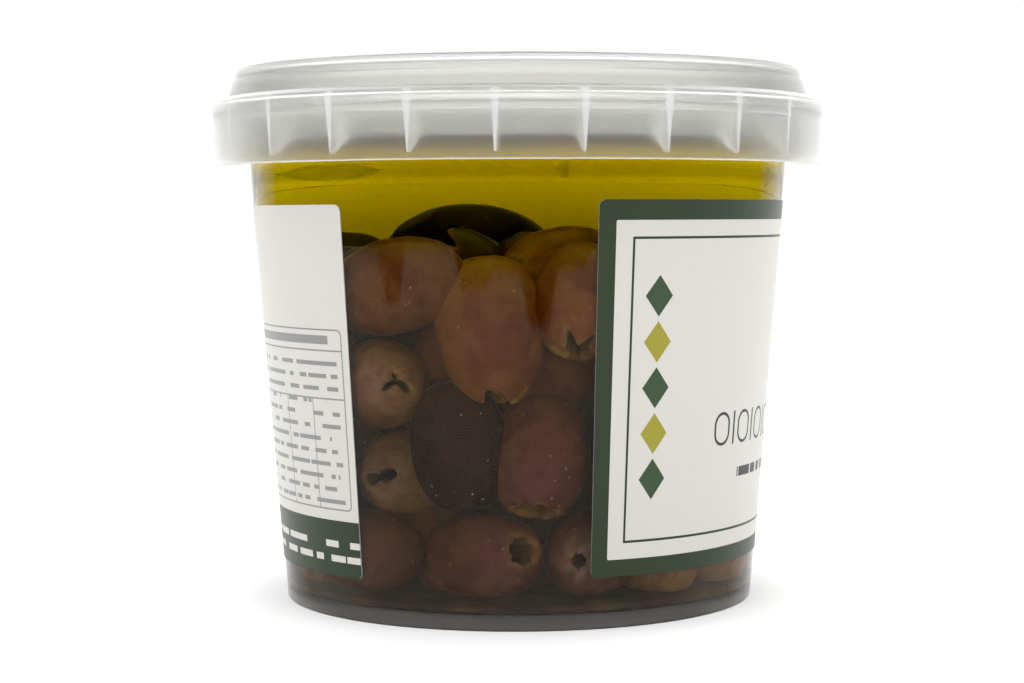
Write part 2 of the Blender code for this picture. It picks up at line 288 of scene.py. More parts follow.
def rounded(path: Sequence[Span], cut: float) -> np.ndarray:
    """A path with its inner corners rounded, and support points beside each corner.

    A corner P becomes the curve (1-s)^2 A + 2s(1-s) P + s^2 C, where A and C lie on its two sides
    at the cut's distance, less where a side is short. Beyond A and C stands one more point on each
    side, so that smooth shading turns only at the corner.

    Args:
        path: Radii and heights of the corners.
        cut: Distance from a corner to where its curve starts.

    Returns:
        The new path, with the same ends.
    """
    points = np.array(path)
    sides = np.diff(points, axis=0)
    lengths = np.linalg.norm(sides, axis=1)
    along = sides / lengths[:, None]
    corner = points[1:-1]
    reach = np.minimum(cut, CURVE_LIMIT * np.minimum(lengths[:-1], lengths[1:]))[:, None]
    before = corner - along[:-1] * reach
    after = corner + along[1:] * reach
    share = np.linspace(0.0, 1.0, CURVE_STEPS + 1)[None, :, None]
    curve = (1 - share) ** 2 * before[:, None] + 2 * share * (1 - share) * corner[:, None]
    curve = curve + share**2 * after[:, None]
    support_before = corner - along[:-1] * reach * SUPPORT_REACH
    support_after = corner + along[1:] * reach * SUPPORT_REACH
    curve = np.concatenate([support_before[:, None], curve, support_after[:, None]], axis=1)
    return np.concatenate([points[:1], curve.reshape(-1, 2), points[-1:]])


def divided(path: np.ndarray, longest: float) -> np.ndarray:
    """A path with extra points, so that no side is longer than a length."""
    lengths = np.linalg.norm(np.diff(path, axis=0), axis=1)
    counts = np.maximum(1, np.ceil(lengths / longest)).astype(int)
    place = np.repeat(np.arange(len(counts)), counts)
    within = np.arange(counts.sum()) - np.repeat(np.cumsum(counts) - counts, counts)
    share = (within / np.repeat(counts, counts))[:, None]
    filled = path[place] * (1.0 - share) + path[place + 1] * share
    return np.concatenate([filled, path[-1:]])


def thin_wall(path: Sequence[Span], thickness: float) -> list[Span]:
    """Section of a moulding of one thickness, from the line along the middle of its wall.

    Each point moves half the thickness to both sides along the mean of its two sides' normals,
    lengthened at a corner so that the wall keeps its thickness there.

    Args:
        path: Radii and heights along the middle of the wall.
        thickness: Thickness of the wall.

    Returns:
        The section's corners, along the upper face and back along the lower one.
    """
    points = np.array(path)
    along = np.diff(points, axis=0)
    along /= np.linalg.norm(along, axis=1, keepdims=True)
    normal = np.stack([-along[:, 1], along[:, 0]], axis=1)
    before = np.concatenate([normal[:1], normal])
    after = np.concatenate([normal, normal[-1:]])
    mean = before + after
    mean /= np.linalg.norm(mean, axis=1, keepdims=True)
    offset = mean * (thickness / 2.0 / (mean * after).sum(axis=1))[:, None]
    return [tuple(point) for point in np.concatenate([points + offset, (points - offset)[::-1]])]


def operator(
    operation: str, reflected: bool = False
) -> Callable[["Value", "Value | float"], "Value"]:
    """Operator of a value that adds a Math node.

    Args:
        operation: The node's operation.
        reflected: Whether the other value comes first.

    Returns:
        The operator.
    """

    def apply(value: "Value", other: "Value | float") -> "Value":
        """The node's result."""
        pair = (other, value) if reflected else (value, other)
        return value.graph.math(operation, *pair)

    return apply


class Value:
    """A value in a shader's node tree, which Python's operators turn into Math nodes."""

    def __init__(self, graph: "Graph", socket: bpy.types.NodeSocket) -> None:
        """Wraps an output socket of a graph."""
        self.graph = graph
        self.socket = socket

    __add__ = operator("ADD")
    __radd__ = operator("ADD", True)
    __sub__ = operator("SUBTRACT")
    __rsub__ = operator("SUBTRACT", True)
    __mul__ = operator("MULTIPLY")
    __rmul__ = operator("MULTIPLY", True)
    __truediv__ = operator("DIVIDE")
    __rtruediv__ = operator("DIVIDE", True)
    __pow__ = operator("POWER")
    above = operator("GREATER_THAN")
    below = operator("LESS_THAN")
    least = operator("MINIMUM")
    most = operator("MAXIMUM")

    def __abs__(self) -> "Value":
        """Absolute value."""
        return self.graph.math("ABSOLUTE", self)

    def fraction(self) -> "Value":
        """What is left over a whole number."""
        return self.graph.math("FRACT", self)

    def step(self, low: float, high: float) -> "Value":
        """Rises smoothly from 0 at low to 1 at high, or falls where low is the larger."""
        settings = {"interpolation_type": "SMOOTHSTEP"}
        span = {"From Min": min(low, high), "From Max": max(low, high)}
        ends = {"To Min": 0.0, "To Max": 1.0} if low < high else {"To Min": 1.0, "To Max": 0.0}
        return self.graph.node("ShaderNodeMapRange", settings, {"Value": self, **span, **ends})


class Graph:
    """A node tree under construction."""

    def __init__(self, tree: bpy.types.NodeTree) -> None:
        """Starts from an empty tree."""
        self.tree = tree
        tree.nodes.clear()

    def node(
        self,
        kind: str,
        settings: dict[str, object] | None = None,
        inputs: dict[str | int, object] | None = None,
        output: str | int = 0,
    ) -> Value:
        """Adds one node.

        Args:
            kind: Blender's name of the node's type.
            settings: The node's own settings, set first.
            inputs: Values or links of its input sockets, by name or number.
            output: Output socket to return, by name or number.

        Returns:
            The chosen output.
        """
        made = self.tree.nodes.new(kind)
        for name, setting in (settings or {}).items():
            setattr(made, name, setting)
        for name, given in (inputs or {}).items():
            if isinstance(given, Value):
                self.tree.links.new(given.socket, made.inputs[name])
            else:
                made.inputs[name].default_value = given
        return Value(self, made.outputs[output])

    def math(self, operation: str, *values: "Value | float") -> Value:
        """Math node over values or numbers."""
        return self.node("ShaderNodeMath", {"operation": operation}, dict(enumerate(values)))

    def mix_colours(
        self, share: "Value | float", first: object, second: object, blend: str = "MIX"
    ) -> Value:
        """Colour that goes from the first to the second with the share.

        Args:
            share: 0 for the first colour, 1 for the second.
            first: Colour value, or three numbers.
            second: Colour value, or three numbers.
            blend: How the second is laid over the first.

        Returns:
            The mixed colour.
        """
        pair = [x if isinstance(x, Value) else (*x, 1.0) for x in (first, second)]
        settings = {"data_type": "RGBA", "clamp_factor": True, "blend_type": blend}
        inputs = {0: share, **dict(zip(COLOUR_INPUTS, pair))}
        return self.node("ShaderNodeMix", settings, inputs, COLOUR_OUTPUT)

    def mix_shaders(self, share: "Value | float", first: Value, second: Value) -> Value:
        """Mix Shader from the first to the second with the share."""
        return self.node("ShaderNodeMixShader", None, {0: share, 1: first, 2: second})

    def parts(self, vector: Value) -> list[Value]:
        """The x, y and z of a vector."""
        split = self.node("ShaderNodeSeparateXYZ", None, {0: vector})
        return [Value(self, socket) for socket in split.socket.node.outputs]

    def place(self) -> tuple[Value, Value, Value, Value]:
        """Object coordinates: the vector, and its x, y and z."""
        vector = self.node("ShaderNodeTexCoord", None, None, "Object")
        return vector, *self.parts(vector)

    def noise(self, vector: Value, scale: float, detail: float, roughness: float = 0.5) -> Value:
        """Noise texture's value at a place, from 0 to 1.

        Args:
            vector: Place.
            scale: Features in a metre.
            detail: Number of finer layers.
            roughness: Strength of the finer layers.

        Returns:
            The noise.
        """
        inputs = {"Vector": vector, "Scale": scale, "Detail": detail, "Roughness": roughness}
        return self.node("ShaderNodeTexNoise", None, inputs, 0)

    def bump(self, height: Value, distance: float, strength: float = 1.0) -> Value:
        """Normal bent by a height, whose value 1 stands the distance high."""
        inputs = {"Height": height, "Distance": distance, "Strength": strength}
        return self.node("ShaderNodeBump", None, inputs)

    def close(self, kind: str, inputs: dict[str, Value]) -> None:
        """Adds the output node of a material or a world, fed by its shaders."""
        output = self.tree.nodes.new(kind)
        for name, value in inputs.items():
            self.tree.links.new(value.socket, output.inputs[name])


def new_material(name: str) -> tuple[bpy.types.Material, Graph]:
    """An empty material with the graph of its nodes.

    Args:
        name: Name of the material.

    Returns:
        The material and its graph.
    """
    material = bpy.data.materials.new(name)
    material.use_nodes = True
    return material, Graph(material.node_tree)


def close_material(graph: Graph, surface: Value, volume: Value | None = None) -> None:
    """Adds the output node, fed by a surface and, for a liquid, a volume."""
    inputs = {"Surface": surface}
    if volume is not None:
        inputs["Volume"] = volume
    graph.close("ShaderNodeOutputMaterial", inputs)


def from_axis(x: Value, y: Value) -> Value:
    """Distance from the tub's axis."""
    return (x * x + y * y) ** 0.5


@dataclass(frozen=True)
class Blotches:
    """Soft patches cut from noise.

    Attributes:
        scale: Features in a metre.
        detail: Number of finer layers.
        edge: Noise at which a patch starts, and from which it is full.
        share: Its strength where it is full.
        roughness: Strength of the finer layers.
    """

    scale: float
    detail: float
    edge: Span
    share: float = 1.0
    roughness: float = 0.5

    def mask(self, graph: Graph, vector: Value) -> Value:
        """Strength of the patches at a place."""
        noise = graph.noise(vector, self.scale, self.detail, self.roughness)
        return noise.step(*self.edge) * self.share


@dataclass(frozen=True)
class Grain:
    """Unevenness of a surface: a sum of noises.

    Attributes:
        layers: Features in a metre, number of finer layers and share of each noise.
        distance: How high a value of 1 stands.
        strength: How much of the bend is used.
    """

    layers: tuple[tuple[float, float, float], ...]
    distance: float
    strength: float = 1.0

    def bend(self, graph: Graph, vector: Value, more: Value | float = 0.0) -> Value:
        """Normal bent by the noises at a place and by one more height."""
        height = more
        for scale, detail, share in self.layers:
            height = graph.noise(vector, scale, detail) * share + height
        return graph.bump(height, self.distance, self.strength)


@dataclass(frozen=True)
class Milk:
    """How cloudy moulded plastic is.

    Attributes:
        share: Part of the light that the plastic scatters.
        colour: Colour of that light.
        roughness: Roughness of the clear part.
        passing: Tint of the light that passes the clear part.
    """

    share: float
    colour: Colour
    roughness: float
    passing: Colour = CLEAR


def clear_pass(graph: Graph, tint: Colour = CLEAR) -> Value:
    """Shader that lets light straight through, with a tint."""
    return graph.node("ShaderNodeBsdfTransparent", None, {"Color": (*tint, 1.0)})


def diffuse(graph: Graph, colour: Colour) -> Value:
    """Shader of a matt colour."""
    return graph.node("ShaderNodeBsdfDiffuse", None, {"Color": (*colour, 1.0)})


def glowing(graph: Graph, colour: Colour, normal: Value | None = None) -> Value:
    """Shader of a matt colour that scatters half of the light to its far side."""
    bent = {} if normal is None else {"Normal": normal}
    inputs = {"Color": (*colour, 1.0), **bent}
    back = graph.node("ShaderNodeBsdfDiffuse", None, inputs)
    through = graph.node("ShaderNodeBsdfTranslucent", None, inputs)
    return graph.mix_shaders(0.5, back, through)


def milky(graph: Graph, milk: Milk, normal: Value | None = None) -> Value:
    """Shader of cloudy plastic: rough clear plastic mixed with light scattered to both sides.

    Args:
        graph: Graph to add to.
        milk: How cloudy it is.
        normal: Bent normal, or None.

    Returns:
        The shader.
    """
    clear = see_through(graph, PLASTIC_IOR, milk.roughness, normal, milk.passing)
    return graph.mix_shaders(milk.share, clear, glowing(graph, milk.colour, normal))


def see_through(
    graph: Graph,
    ior: float,
    roughness: float,
    normal: Value | None = None,
    passing: Colour = CLEAR,
) -> Value:
    """Shader of a clear stuff: it bends light, and reflects it at a slant or from within.

    The reflected share is Fresnel's over a threshold, (F - Q) / (1 - Q), so that the stuff shows
    no veil of light face on.

    Args:
        graph: Graph to add to.
        ior: Index of refraction.
        roughness: Roughness.
        normal: Bent normal, or None.
        passing: Tint of the light that passes.

    Returns:
        The shader.
    """
    bent = {} if normal is None else {"Normal": normal}
    inputs = {"Roughness": roughness, **bent}
    refracting = {"IOR": ior, "Color": (*passing, 1.0), **inputs}
    passed = graph.node("ShaderNodeBsdfRefraction", None, refracting)
    mirrored = graph.node("ShaderNodeBsdfAnisotropic", None, {"Color": (*CLEAR, 1.0), **inputs})
    fresnel = graph.node("ShaderNodeFresnel", None, {"IOR": ior, **bent})
    share = ((fresnel - QUIET_GLOSS) / (1.0 - QUIET_GLOSS)).most(0.0)
    return graph.mix_shaders(share, passed, mirrored)


@dataclass(frozen=True)
class Wall:
    """The tub's cone, which the contents and the labels follow."""

    foot_radius: float = 0.0454
    flare: float = 0.0785
    thickness: float = 0.0009
    floor_top: float = 0.00295

    def outer(self, height: np.ndarray | float) -> np.ndarray | float:
        """Outer radius at a height."""
        return self.foot_radius + self.flare * height

    def inner(self, height: np.ndarray | float) -> np.ndarray | float:
        """Inner radius at a height."""
        return self.outer(height) - self.thickness


@dataclass(frozen=True)
class Film:
    """A thin dull film on the tub's outer face, which ends below the band at an uneven edge.

    It is partly the wall's haze and partly painted light: it scatters more at the flanks, as a painted
    sheen, and its edge dips lower over patches that stay clear and darker, as painted shade.

    Attributes:
        share: Share of light that it scatters.
        colour: Colour of that light.
        top: Height up to which it reaches.
        unevenness: Scale, finer layers and height of its edge's waves.
        shaded_dips: Where it ends lower, leaving painted shade: from and to a bearing, and by how much.
        dip_side: Half the width of a dip's sides, in degrees.
        fade: Distance under and over the edge in which it fades.
        flank: Bearings between which it scatters more, as painted sheen, and then less again behind.
        flank_sheen: How much more it scatters at the flanks, as painted sheen.
        foot: Heights between which it thickens towards the foot.
        foot_extra: How much more it scatters there.
    """

    share: float = 0.019
    colour: Colour = (0.95, 0.84, 0.74)
    top: float = 0.0672
    unevenness: tuple[float, float, float] = (60.0, 2.0, 0.002)
    shaded_dips: tuple[tuple[float, float, float], ...] = (
        (-28.5, -23.8, 0.0095),
        (-12.0, -6.0, 0.0075),
        (-6.0, 1.5, 0.0045),
        (1.5, 7.0, 0.0135),
        (7.0, 14.0, 0.0035),
    )
    dip_side: float = 1.2
    fade: Span = (-0.0010, 0.0016)
    flank: tuple[Span, Span] = ((28.0, 62.0), (110.0, 70.0))
    flank_sheen: float = 2.6
    foot: Span = (0.014, 0.004)
    foot_extra: float = 0.3

    def mask(self, graph: Graph, vector: Value, bearing: Value, z: Value) -> Value:
        """Share of light that it scatters at a place.

        The edge's height is the film's top less, for each dip, its depth between its bearings.

        Args:
            graph: Graph to add to.
            vector: Place.
            bearing: Bearing of the place.
            z: Height of the place.

        Returns:
            The share.
        """
        scale, detail, wave = self.unevenness
        edge = self.top + graph.noise(vector, scale, detail) * wave
        side = self.dip_side
        for start, end, depth in self.shaded_dips:
            within = bearing.step(start - side, start + side) * bearing.step(end + side, end - side)
            edge = edge - within * depth
        # More scatter at the flanks is painted sheen; the dips leave painted shade
        rising, falling = self.flank
        slanted = abs(bearing).step(*rising) * abs(bearing).step(*falling)
        scatter_gain = slanted * self.flank_sheen + z.step(*self.foot) * self.foot_extra + 1.0
        return (edge - z).step(*self.fade) * self.share * scatter_gain


@dataclass(frozen=True)
class BandFace:
    """Finish of the security band: frosted, with painted highlights along its lower edge and over the
    gussets' ends.

    The highlights are white patches on the band's outer face, which show where light enters that
    face. Light on its way out of the far side meets neither, so that side stays faint.

    Attributes:
        middle: Radius of the middle of the band's wall at its lower edge.
        flare: How much that radius grows with height.
        frost: Cloudiness of the inner face. Its clear part passes a tenth more light than reaches it,
            a painted brightening.
        gloss: Cloudiness of the outer face, with the same painted brightening.
        edge_glint: Height of the painted highlight along the lower edge.
        edge_glint_share: How white that painted highlight shows.
        far_edge_clear: Height over which that edge doesn't show from inside.
        end_width: Half the width of the painted highlight on a gusset's end at the flange, in degrees.
        end_inset: How much further in its sides start, in degrees.
        end_side: Half the width of its soft sides, in degrees.
        end_glint_share: How white that painted highlight shows.
    """

    middle: float = 0.05805
    flare: float = 0.0466
    frost: Milk = Milk(0.10, (0.98, 0.98, 0.96), 0.46, (1.10, 1.10, 1.09))
    gloss: Milk = Milk(0.11, (0.98, 0.98, 0.96), 0.36, (1.10, 1.10, 1.09))
    edge_glint: float = 0.00035
    edge_glint_share: float = 0.85
    far_edge_clear: float = 0.0006
    end_width: float = 0.50
    end_inset: float = 0.12
    end_side: float = 0.10
    end_glint_share: float = 0.55


@dataclass(frozen=True)
class TubPlastic:
    """Finish of the tub: clear where oil wets its inner face, frosted at the band and the foot.

    Attributes:
        tub: The tub's shape.
        oil_level: Height up to which the inner face is wet in front.
        rise: How much lower it is wet at the back.
        film: The film on the outer face.
        band: The band's finish.
        ripple: Slow waves of the moulded faces.
        grain: Fine grain of the band's inner face.
        foot: Cloudiness of the dry foot. Its dark grey-brown scatter colour is partly the plastic's
        and partly painted shade under the contents.
        band_shade_tint: Painted shade: tint that darkens the light passing the wall behind the
            band.
        dim_roughness: Roughness of that part of the wall.
        band_shade_heights: Heights between which the painted shade sets in, and ends again.
        back_shade_tint: Painted shade: tint that darkens the light passing the back of the wall below
            the oil's surface.
        back_shade_heights: Heights between which the painted shade sets in.
        back_shade_sides: Distances to the side between which it sets in.
        floor_margin: Distance under the floor's top from which the inner face is wet.
        wall_margin: Distance from the wall's middle to where the band starts, in thicknesses.
        band_margin: Distance under the band from which it is frosted.
        rim_from: Height over the band's lower edge from which the wall is frosted too.
    """

    tub: "Tub"
    oil_level: float
    rise: float
    film: Film = Film()
    band: BandFace = BandFace()
    ripple: Grain = Grain(((60.0, 1.0, 1.0),), 0.00006)
    grain: Grain = Grain(((1400.0, 1.0, 1.0),), 0.00005)
    foot: Milk = Milk(0.24, (0.38, 0.35, 0.33), 0.50)
    band_shade_tint: Colour = (0.70, 0.70, 0.69)
    dim_roughness: float = 0.15
    band_shade_heights: tuple[Span, Span] = ((0.0832, 0.0852), (0.0965, 0.0885))
    back_shade_tint: Colour = (0.46, 0.45, 0.42)
    back_shade_heights: Span = (0.086, 0.072)
    back_shade_sides: Span = (0.046, 0.020)
    floor_margin: float = 0.0005
    wall_margin: float = 1.2
    band_margin: float = 0.001
    rim_from: float = 0.009

    def make(self) -> bpy.types.Material:
        """Builds the finish, with its masks worked out from radius and height.

        Returns:
            The material.
        """
        material, graph = new_material("tub_plastic")
        vector, x, y, z = graph.place()
        wall = self.tub.wall
        low = self.tub.band_low
        radius = from_axis(x, y)
        bearing = graph.math("ARCTAN2", x, y * -1.0) * math.degrees(1.0)
        wave = self.ripple.bend(graph, vector)
        middle = wall.foot_radius - wall.thickness / 2.0 + wall.flare * z
        outer = radius.above(middle + wall.thickness * self.wall_margin)
        banded = outer.most(z.above(low + self.rim_from)) * z.above(low - self.band_margin)
        clear = see_through(graph, PLASTIC_IOR, 0.0, wave)
        # Painted shade: dull is the wall behind the band, whose tint passes less light
        dull = see_through(graph, PLASTIC_IOR, self.dim_roughness, wave, self.band_shade_tint)
        rising, falling = self.band_shade_heights
        body = graph.mix_shaders(z.step(*rising) * z.step(*falling), clear, dull)
        film = self.film.mask(graph, vector, bearing, z)
        body = graph.mix_shaders(film, body, diffuse(graph, self.film.colour))
        grain = self.grain.bend(graph, vector)
        body = self.banded_body(graph, body, banded, (radius, bearing, z), (wave, grain))
        # The foot's dark scatter colour is partly painted shade
        body = graph.mix_shaders(z.below(wall.floor_top), body, milky(graph, self.foot))
        # Painted shade: the wet back of the wall, below the oil's surface and in the middle, passes less
        # light
        behind = y.above(0.0) * z.step(*self.back_shade_heights) * abs(x).step(*self.back_shade_sides)
        wet = graph.mix_shaders(behind, clear_pass(graph), clear_pass(graph, self.back_shade_tint))
        wet_to = self.oil_level - y.above(0.0) * self.rise
        inside = radius.below(middle) * z.below(wet_to) * z.above(wall.floor_top - self.floor_margin)
        close_material(graph, graph.mix_shaders(inside, body, wet))
        return material

    def banded_body(
        self,
        graph: Graph,
        body: Value,
        banded: Value,
        place: tuple[Value, Value, Value],
        normals: tuple[Value, Value],
    ) -> Value:
        """Shader of the tub with its band.

        The painted highlight on a gusset's end is a wedge: its half width in degrees grows from its
        point to the flange.

        Args:
            graph: Graph to add to.
            body: Shader of the tub apart from the band.
            banded: 1 on the band.
            place: Radius, bearing and height.
            normals: Bent normals of the band's outer and inner face.

        Returns:
            The shader.
        """
        band = self.band
        tub = self.tub
        radius, bearing, z = place
        face = radius.above(band.middle + band.flare * (z - tub.band_low))
        leaving = graph.node("ShaderNodeNewGeometry", None, None, "Backfacing")
        outwards = face * leaving + (1.0 - face) * (1.0 - leaving)
        inwards = banded * face * (1.0 - leaving)
        frosted = milky(graph, band.frost, normals[1])
        glossy = milky(graph, band.gloss, normals[0])
        body = graph.mix_shaders(banded, body, graph.mix_shaders(face, frosted, glossy))
        spacing = TURN / tub.gussets
        off = abs(((bearing - tub.gusset_bearing) / spacing + 0.5).fraction() - 0.5) * spacing
        slope = band.end_width / (tub.flange_low - tub.gusset_point)
        beyond = off - (z - tub.gusset_point) * slope - band.end_inset
        # Painted highlights: white wedges over the gussets' ends and a white strip along the lower edge,
        # on the outer face only; white is their strength
        end = inwards * beyond.step(band.end_side, -band.end_side) * z.above(tub.gusset_point)
        edge_glint = inwards * z.below(tub.band_low + band.edge_glint) * band.edge_glint_share
        white = (end * band.end_glint_share).most(edge_glint)
        body = graph.mix_shaders(white, body, glowing(graph, CLEAR))
        unseen = outwards.most(z.below(tub.band_low + band.edge_glint / 3.0))
        far_edge = banded * unseen * z.below(tub.band_low + band.far_edge_clear)
        return graph.mix_shaders(far_edge, body, clear_pass(graph))


@dataclass(frozen=True)
class FrostedPlastic:
    """Finish of the lid or of the gussets: cloudy plastic with fine turning marks.

    Attributes:
        name: Name of the material.
        milk: How cloudy it is.
        airy: Share of light that goes straight through.
        panel: Radius within which it is cloudier, or 0.
        panel_edge: Width of that radius's soft edge.
        cloudier: Share of light that only scatters there.
        turning: Turning marks in a metre of radius, as an angle in radians.
        turning_share: Height of the turning marks as a share of the grain's.
        grain: Unevenness besides them.
    """

    name: str
    milk: Milk
    airy: float = 0.0
    panel: float = 0.0
    panel_edge: float = 0.002
    cloudier: float = 0.09
    turning: float = 9000.0
    turning_share: float = 0.1
    grain: Grain = Grain(((700.0, 2.0, 0.6),), 0.00006)

    def make(self) -> bpy.types.Material:
        """Builds the finish.

        Returns:
            The material.
        """
        material, graph = new_material(self.name)
        vector, x, y, _ = graph.place()
        radius = from_axis(x, y)
        marks = graph.math("SINE", radius * self.turning) * self.turning_share
        cloudy = milky(graph, self.milk, self.grain.bend(graph, vector, marks))
        within = radius.step(self.panel, self.panel - self.panel_edge) * self.cloudier
        cloudy = graph.mix_shaders(within, cloudy, glowing(graph, self.milk.colour))
        close_material(graph, graph.mix_shaders(self.airy, cloudy, clear_pass(graph)))
        return material


@dataclass(frozen=True)
class OliveOil:
    """Finish of the oil: clear at the wall, a surface at the top, and colour with depth.

    Attributes:
        wall: The tub's cone.
        level: Height of the surface.
        thinning: Absorption in a metre of red, green and blue light.
        surface_margin: Distance under the surface's height that still counts as the surface.
        wall_margin: Distance into the wall up to which it does.
    """

    wall: Wall
    level: float
    thinning: Colour = (12.0, 15.6, 120.0)
    surface_margin: float = 0.0004
    wall_margin: float = 0.00005

    def make(self) -> bpy.types.Material:
        """Builds the finish. The shell's sides let light straight on, since the wall refracts it.

        Returns:
            The material.
        """
        material, graph = new_material("olive_oil")
        _, x, y, z = graph.place()
        within = from_axis(x, y).below(self.wall.inner(z) + self.wall_margin)
        top = z.above(self.level - self.surface_margin) * within
        surface = see_through(graph, OIL_IOR, 0.0)
        density = max(self.thinning)
        colour = [1.0 - part / density for part in self.thinning]
        volume = graph.node("ShaderNodeVolumeAbsorption", None, {0: (*colour, 1.0), 1: density})
        close_material(graph, graph.mix_shaders(top, clear_pass(graph), surface), volume)
        return material


@dataclass(frozen=True)
class OliveSkin:
    """Finish of the olives: the colours at their points, with pores, specks, a soft gloss, and a
    painted highlight on top of the heap.

    Attributes:
        roughness: Roughness of the skin.
        plain_and_glint_iors: Index of refraction low in the heap, and on top of it where the skin faces
            up, where the higher one makes a glossier copy of the skin as a painted highlight. Both are
            low, as of skin seen in oil.
        upward: How much a place faces up where the painted highlight sets in, and where it is full.
        on_top: Heights between which it sets in.
        mottle: Darker patches.
        mottle_tint: Tint of the darkest patches.
        fleck: Small dark flecks.
        speck: Colour of the pale specks.
        speck_share: Strength of that colour.
        speck_scale: Places for specks in a metre.
        speck_edge: Distance from such a place at which a speck ends, and is full.
        speck_spread: Where specks are.
        pores: Unevenness of the skin.
        speck_dip: How deep the specks lie, as a share of the pores' height.
    """

    roughness: float = 0.32
    plain_and_glint_iors: Span = (1.03, 1.22)
    upward: Span = (0.1, 0.6)
    on_top: Span = (0.054, 0.062)
    mottle: Blotches = Blotches(420.0, 4.0, (0.42, 0.72), 0.6, 0.6)
    mottle_tint: Colour = (0.62, 0.58, 0.58)
    fleck: Blotches = Blotches(2200.0, 2.0, (0.48, 0.66), 0.35)
    speck: Colour = (0.30, 0.22, 0.13)
    speck_share: float = 0.7
    speck_scale: float = 520.0
    speck_edge: Span = (0.17, 0.09)
    speck_spread: Blotches = Blotches(160.0, 1.0, (0.46, 0.56))
    pores: Grain = Grain(((1500.0, 2.0, 0.35), (260.0, 2.0, 1.0)), 0.00012, 0.8)
    speck_dip: float = 0.5

    def make(self) -> bpy.types.Material:
        """Builds the finish.

        Returns:
            The material.
        """
        material, graph = new_material("olive_skin")
        vector, _, _, z = graph.place()
        skin = graph.node("ShaderNodeAttribute", {"attribute_name": "skin"}, None, "Color")
        darker = graph.mix_colours(1.0, skin, self.mottle_tint, "MULTIPLY")
        colour = graph.mix_colours(self.mottle.mask(graph, vector), skin, darker)
        cell = {"Vector": vector, "Scale": self.speck_scale}
        cells = graph.node("ShaderNodeTexVoronoi", None, cell, "Distance")
        specks = cells.step(*self.speck_edge) * self.speck_spread.mask(graph, vector)
        colour = graph.mix_colours(specks * self.speck_share, colour, self.speck)
        dark = graph.mix_colours(0.5, skin, BLACK)
        colour = graph.mix_colours(self.fleck.mask(graph, vector), colour, dark)
        normal = self.pores.bend(graph, vector, specks * -self.speck_dip)
        # Painted highlight: a glossier copy of the skin where it faces up on top of the heap
        facing = graph.node("ShaderNodeNewGeometry", None, None, "Normal")
        edge = graph.parts(facing)[2].step(*self.upward) * z.step(*self.on_top)
        inputs = {"Base Color": colour, "Roughness": self.roughness, "Normal": normal}
        skins = [
            graph.node("ShaderNodeBsdfPrincipled", None, {**inputs, "IOR": ior}) for ior in self.plain_and_glint_iors
        ]
        close_material(graph, graph.mix_shaders(edge, *skins))
        return material


@dataclass(frozen=True)
class DeepShade:
    """Finish of the heap's core: painted shade, the dark of the shaded olives that lie behind.

    Attributes:
        colour: Its darker colour.
        lighter: How much lighter its patches are.
        patches: The lighter patches.
        roughness: Roughness.
        ior: Index of refraction, low as of skin seen in oil.
    """

    colour: Colour = (0.042, 0.027, 0.014)
    lighter: float = 2.2
    patches: Blotches = Blotches(120.0, 2.0, (0.35, 0.75))
    roughness: float = 0.6
    ior: float = 1.1

    def make(self) -> bpy.types.Material:
        """The material."""
        material, graph = new_material("deep_shade")
        vector, _, _, _ = graph.place()
        light = [part * self.lighter for part in self.colour]
        colour = graph.mix_colours(self.patches.mask(graph, vector), self.colour, light)
        inputs = {"Base Color": colour, "Roughness": self.roughness, "IOR": self.ior}
        close_material(graph, graph.node("ShaderNodeBsdfPrincipled", None, inputs))
        return material


@dataclass(frozen=True)
class Ink:
    """A printed box: its bounds on the label, in millimetres, and its colour.

    Attributes:
        left: Left edge, along the wall from the label's left edge.
        right: Right edge.
        low: Lower edge, over the foot.
        high: Upper edge.
        colour: Colour of the ink.
    """

    left: float
    right: float
    low: float
    high: float
    colour: Colour

    def offsets(self, along: Value, up: Value) -> tuple[Value, Value, float, float]:
        """Distances from the box's middle, across and up, and its half width and height."""
        across = abs(along - (self.left + self.right) / 2.0)
        upward = abs(up - (self.low + self.high) / 2.0)
        return across, upward, (self.right - self.left) / 2.0, (self.high - self.low) / 2.0

    def depth(self, along: Value, up: Value) -> Value:
        """Distance inwards from the nearest edge of the box."""
        across, upward, half_width, half_height = self.offsets(along, up)
        return (half_width - across).least(half_height - upward)

    def mask(self, along: Value, up: Value) -> Value:
        """1 within the shape: where a place lies inwards of its edge."""
        return self.depth(along, up).above(0.0)


@dataclass(frozen=True)
class RoundBox(Ink):
    """A printed box with round corners."""

    corner: float = 1.5

    def depth(self, along: Value, up: Value) -> Value:
        """Distance inwards from the edge, with each corner a quarter circle."""
        across, upward, half_width, half_height = self.offsets(along, up)
        across = across - (half_width - self.corner)
        upward = upward - (half_height - self.corner)
        outside = (across.most(0.0) ** 2.0 + upward.most(0.0) ** 2.0) ** 0.5
        return self.corner - outside - across.most(upward).least(0.0)


@dataclass(frozen=True)
class Outline(RoundBox):
    """A printed line round a box."""

    line: float = 0.35

    def mask(self, along: Value, up: Value) -> Value:
        """1 on the line: inside the box's edge by less than the line's width."""
        depth = self.depth(along, up)
        return depth.above(0.0) * depth.below(self.line)


@dataclass(frozen=True)
class Lozenge(Ink):
    """A printed diamond."""

    def mask(self, along: Value, up: Value) -> Value:
        """1 where a + b < 1, with a and b measured in half widths and heights."""
        across, upward, half_width, half_height = self.offsets(along, up)
        return (across / half_width + upward / half_height).below(1.0)


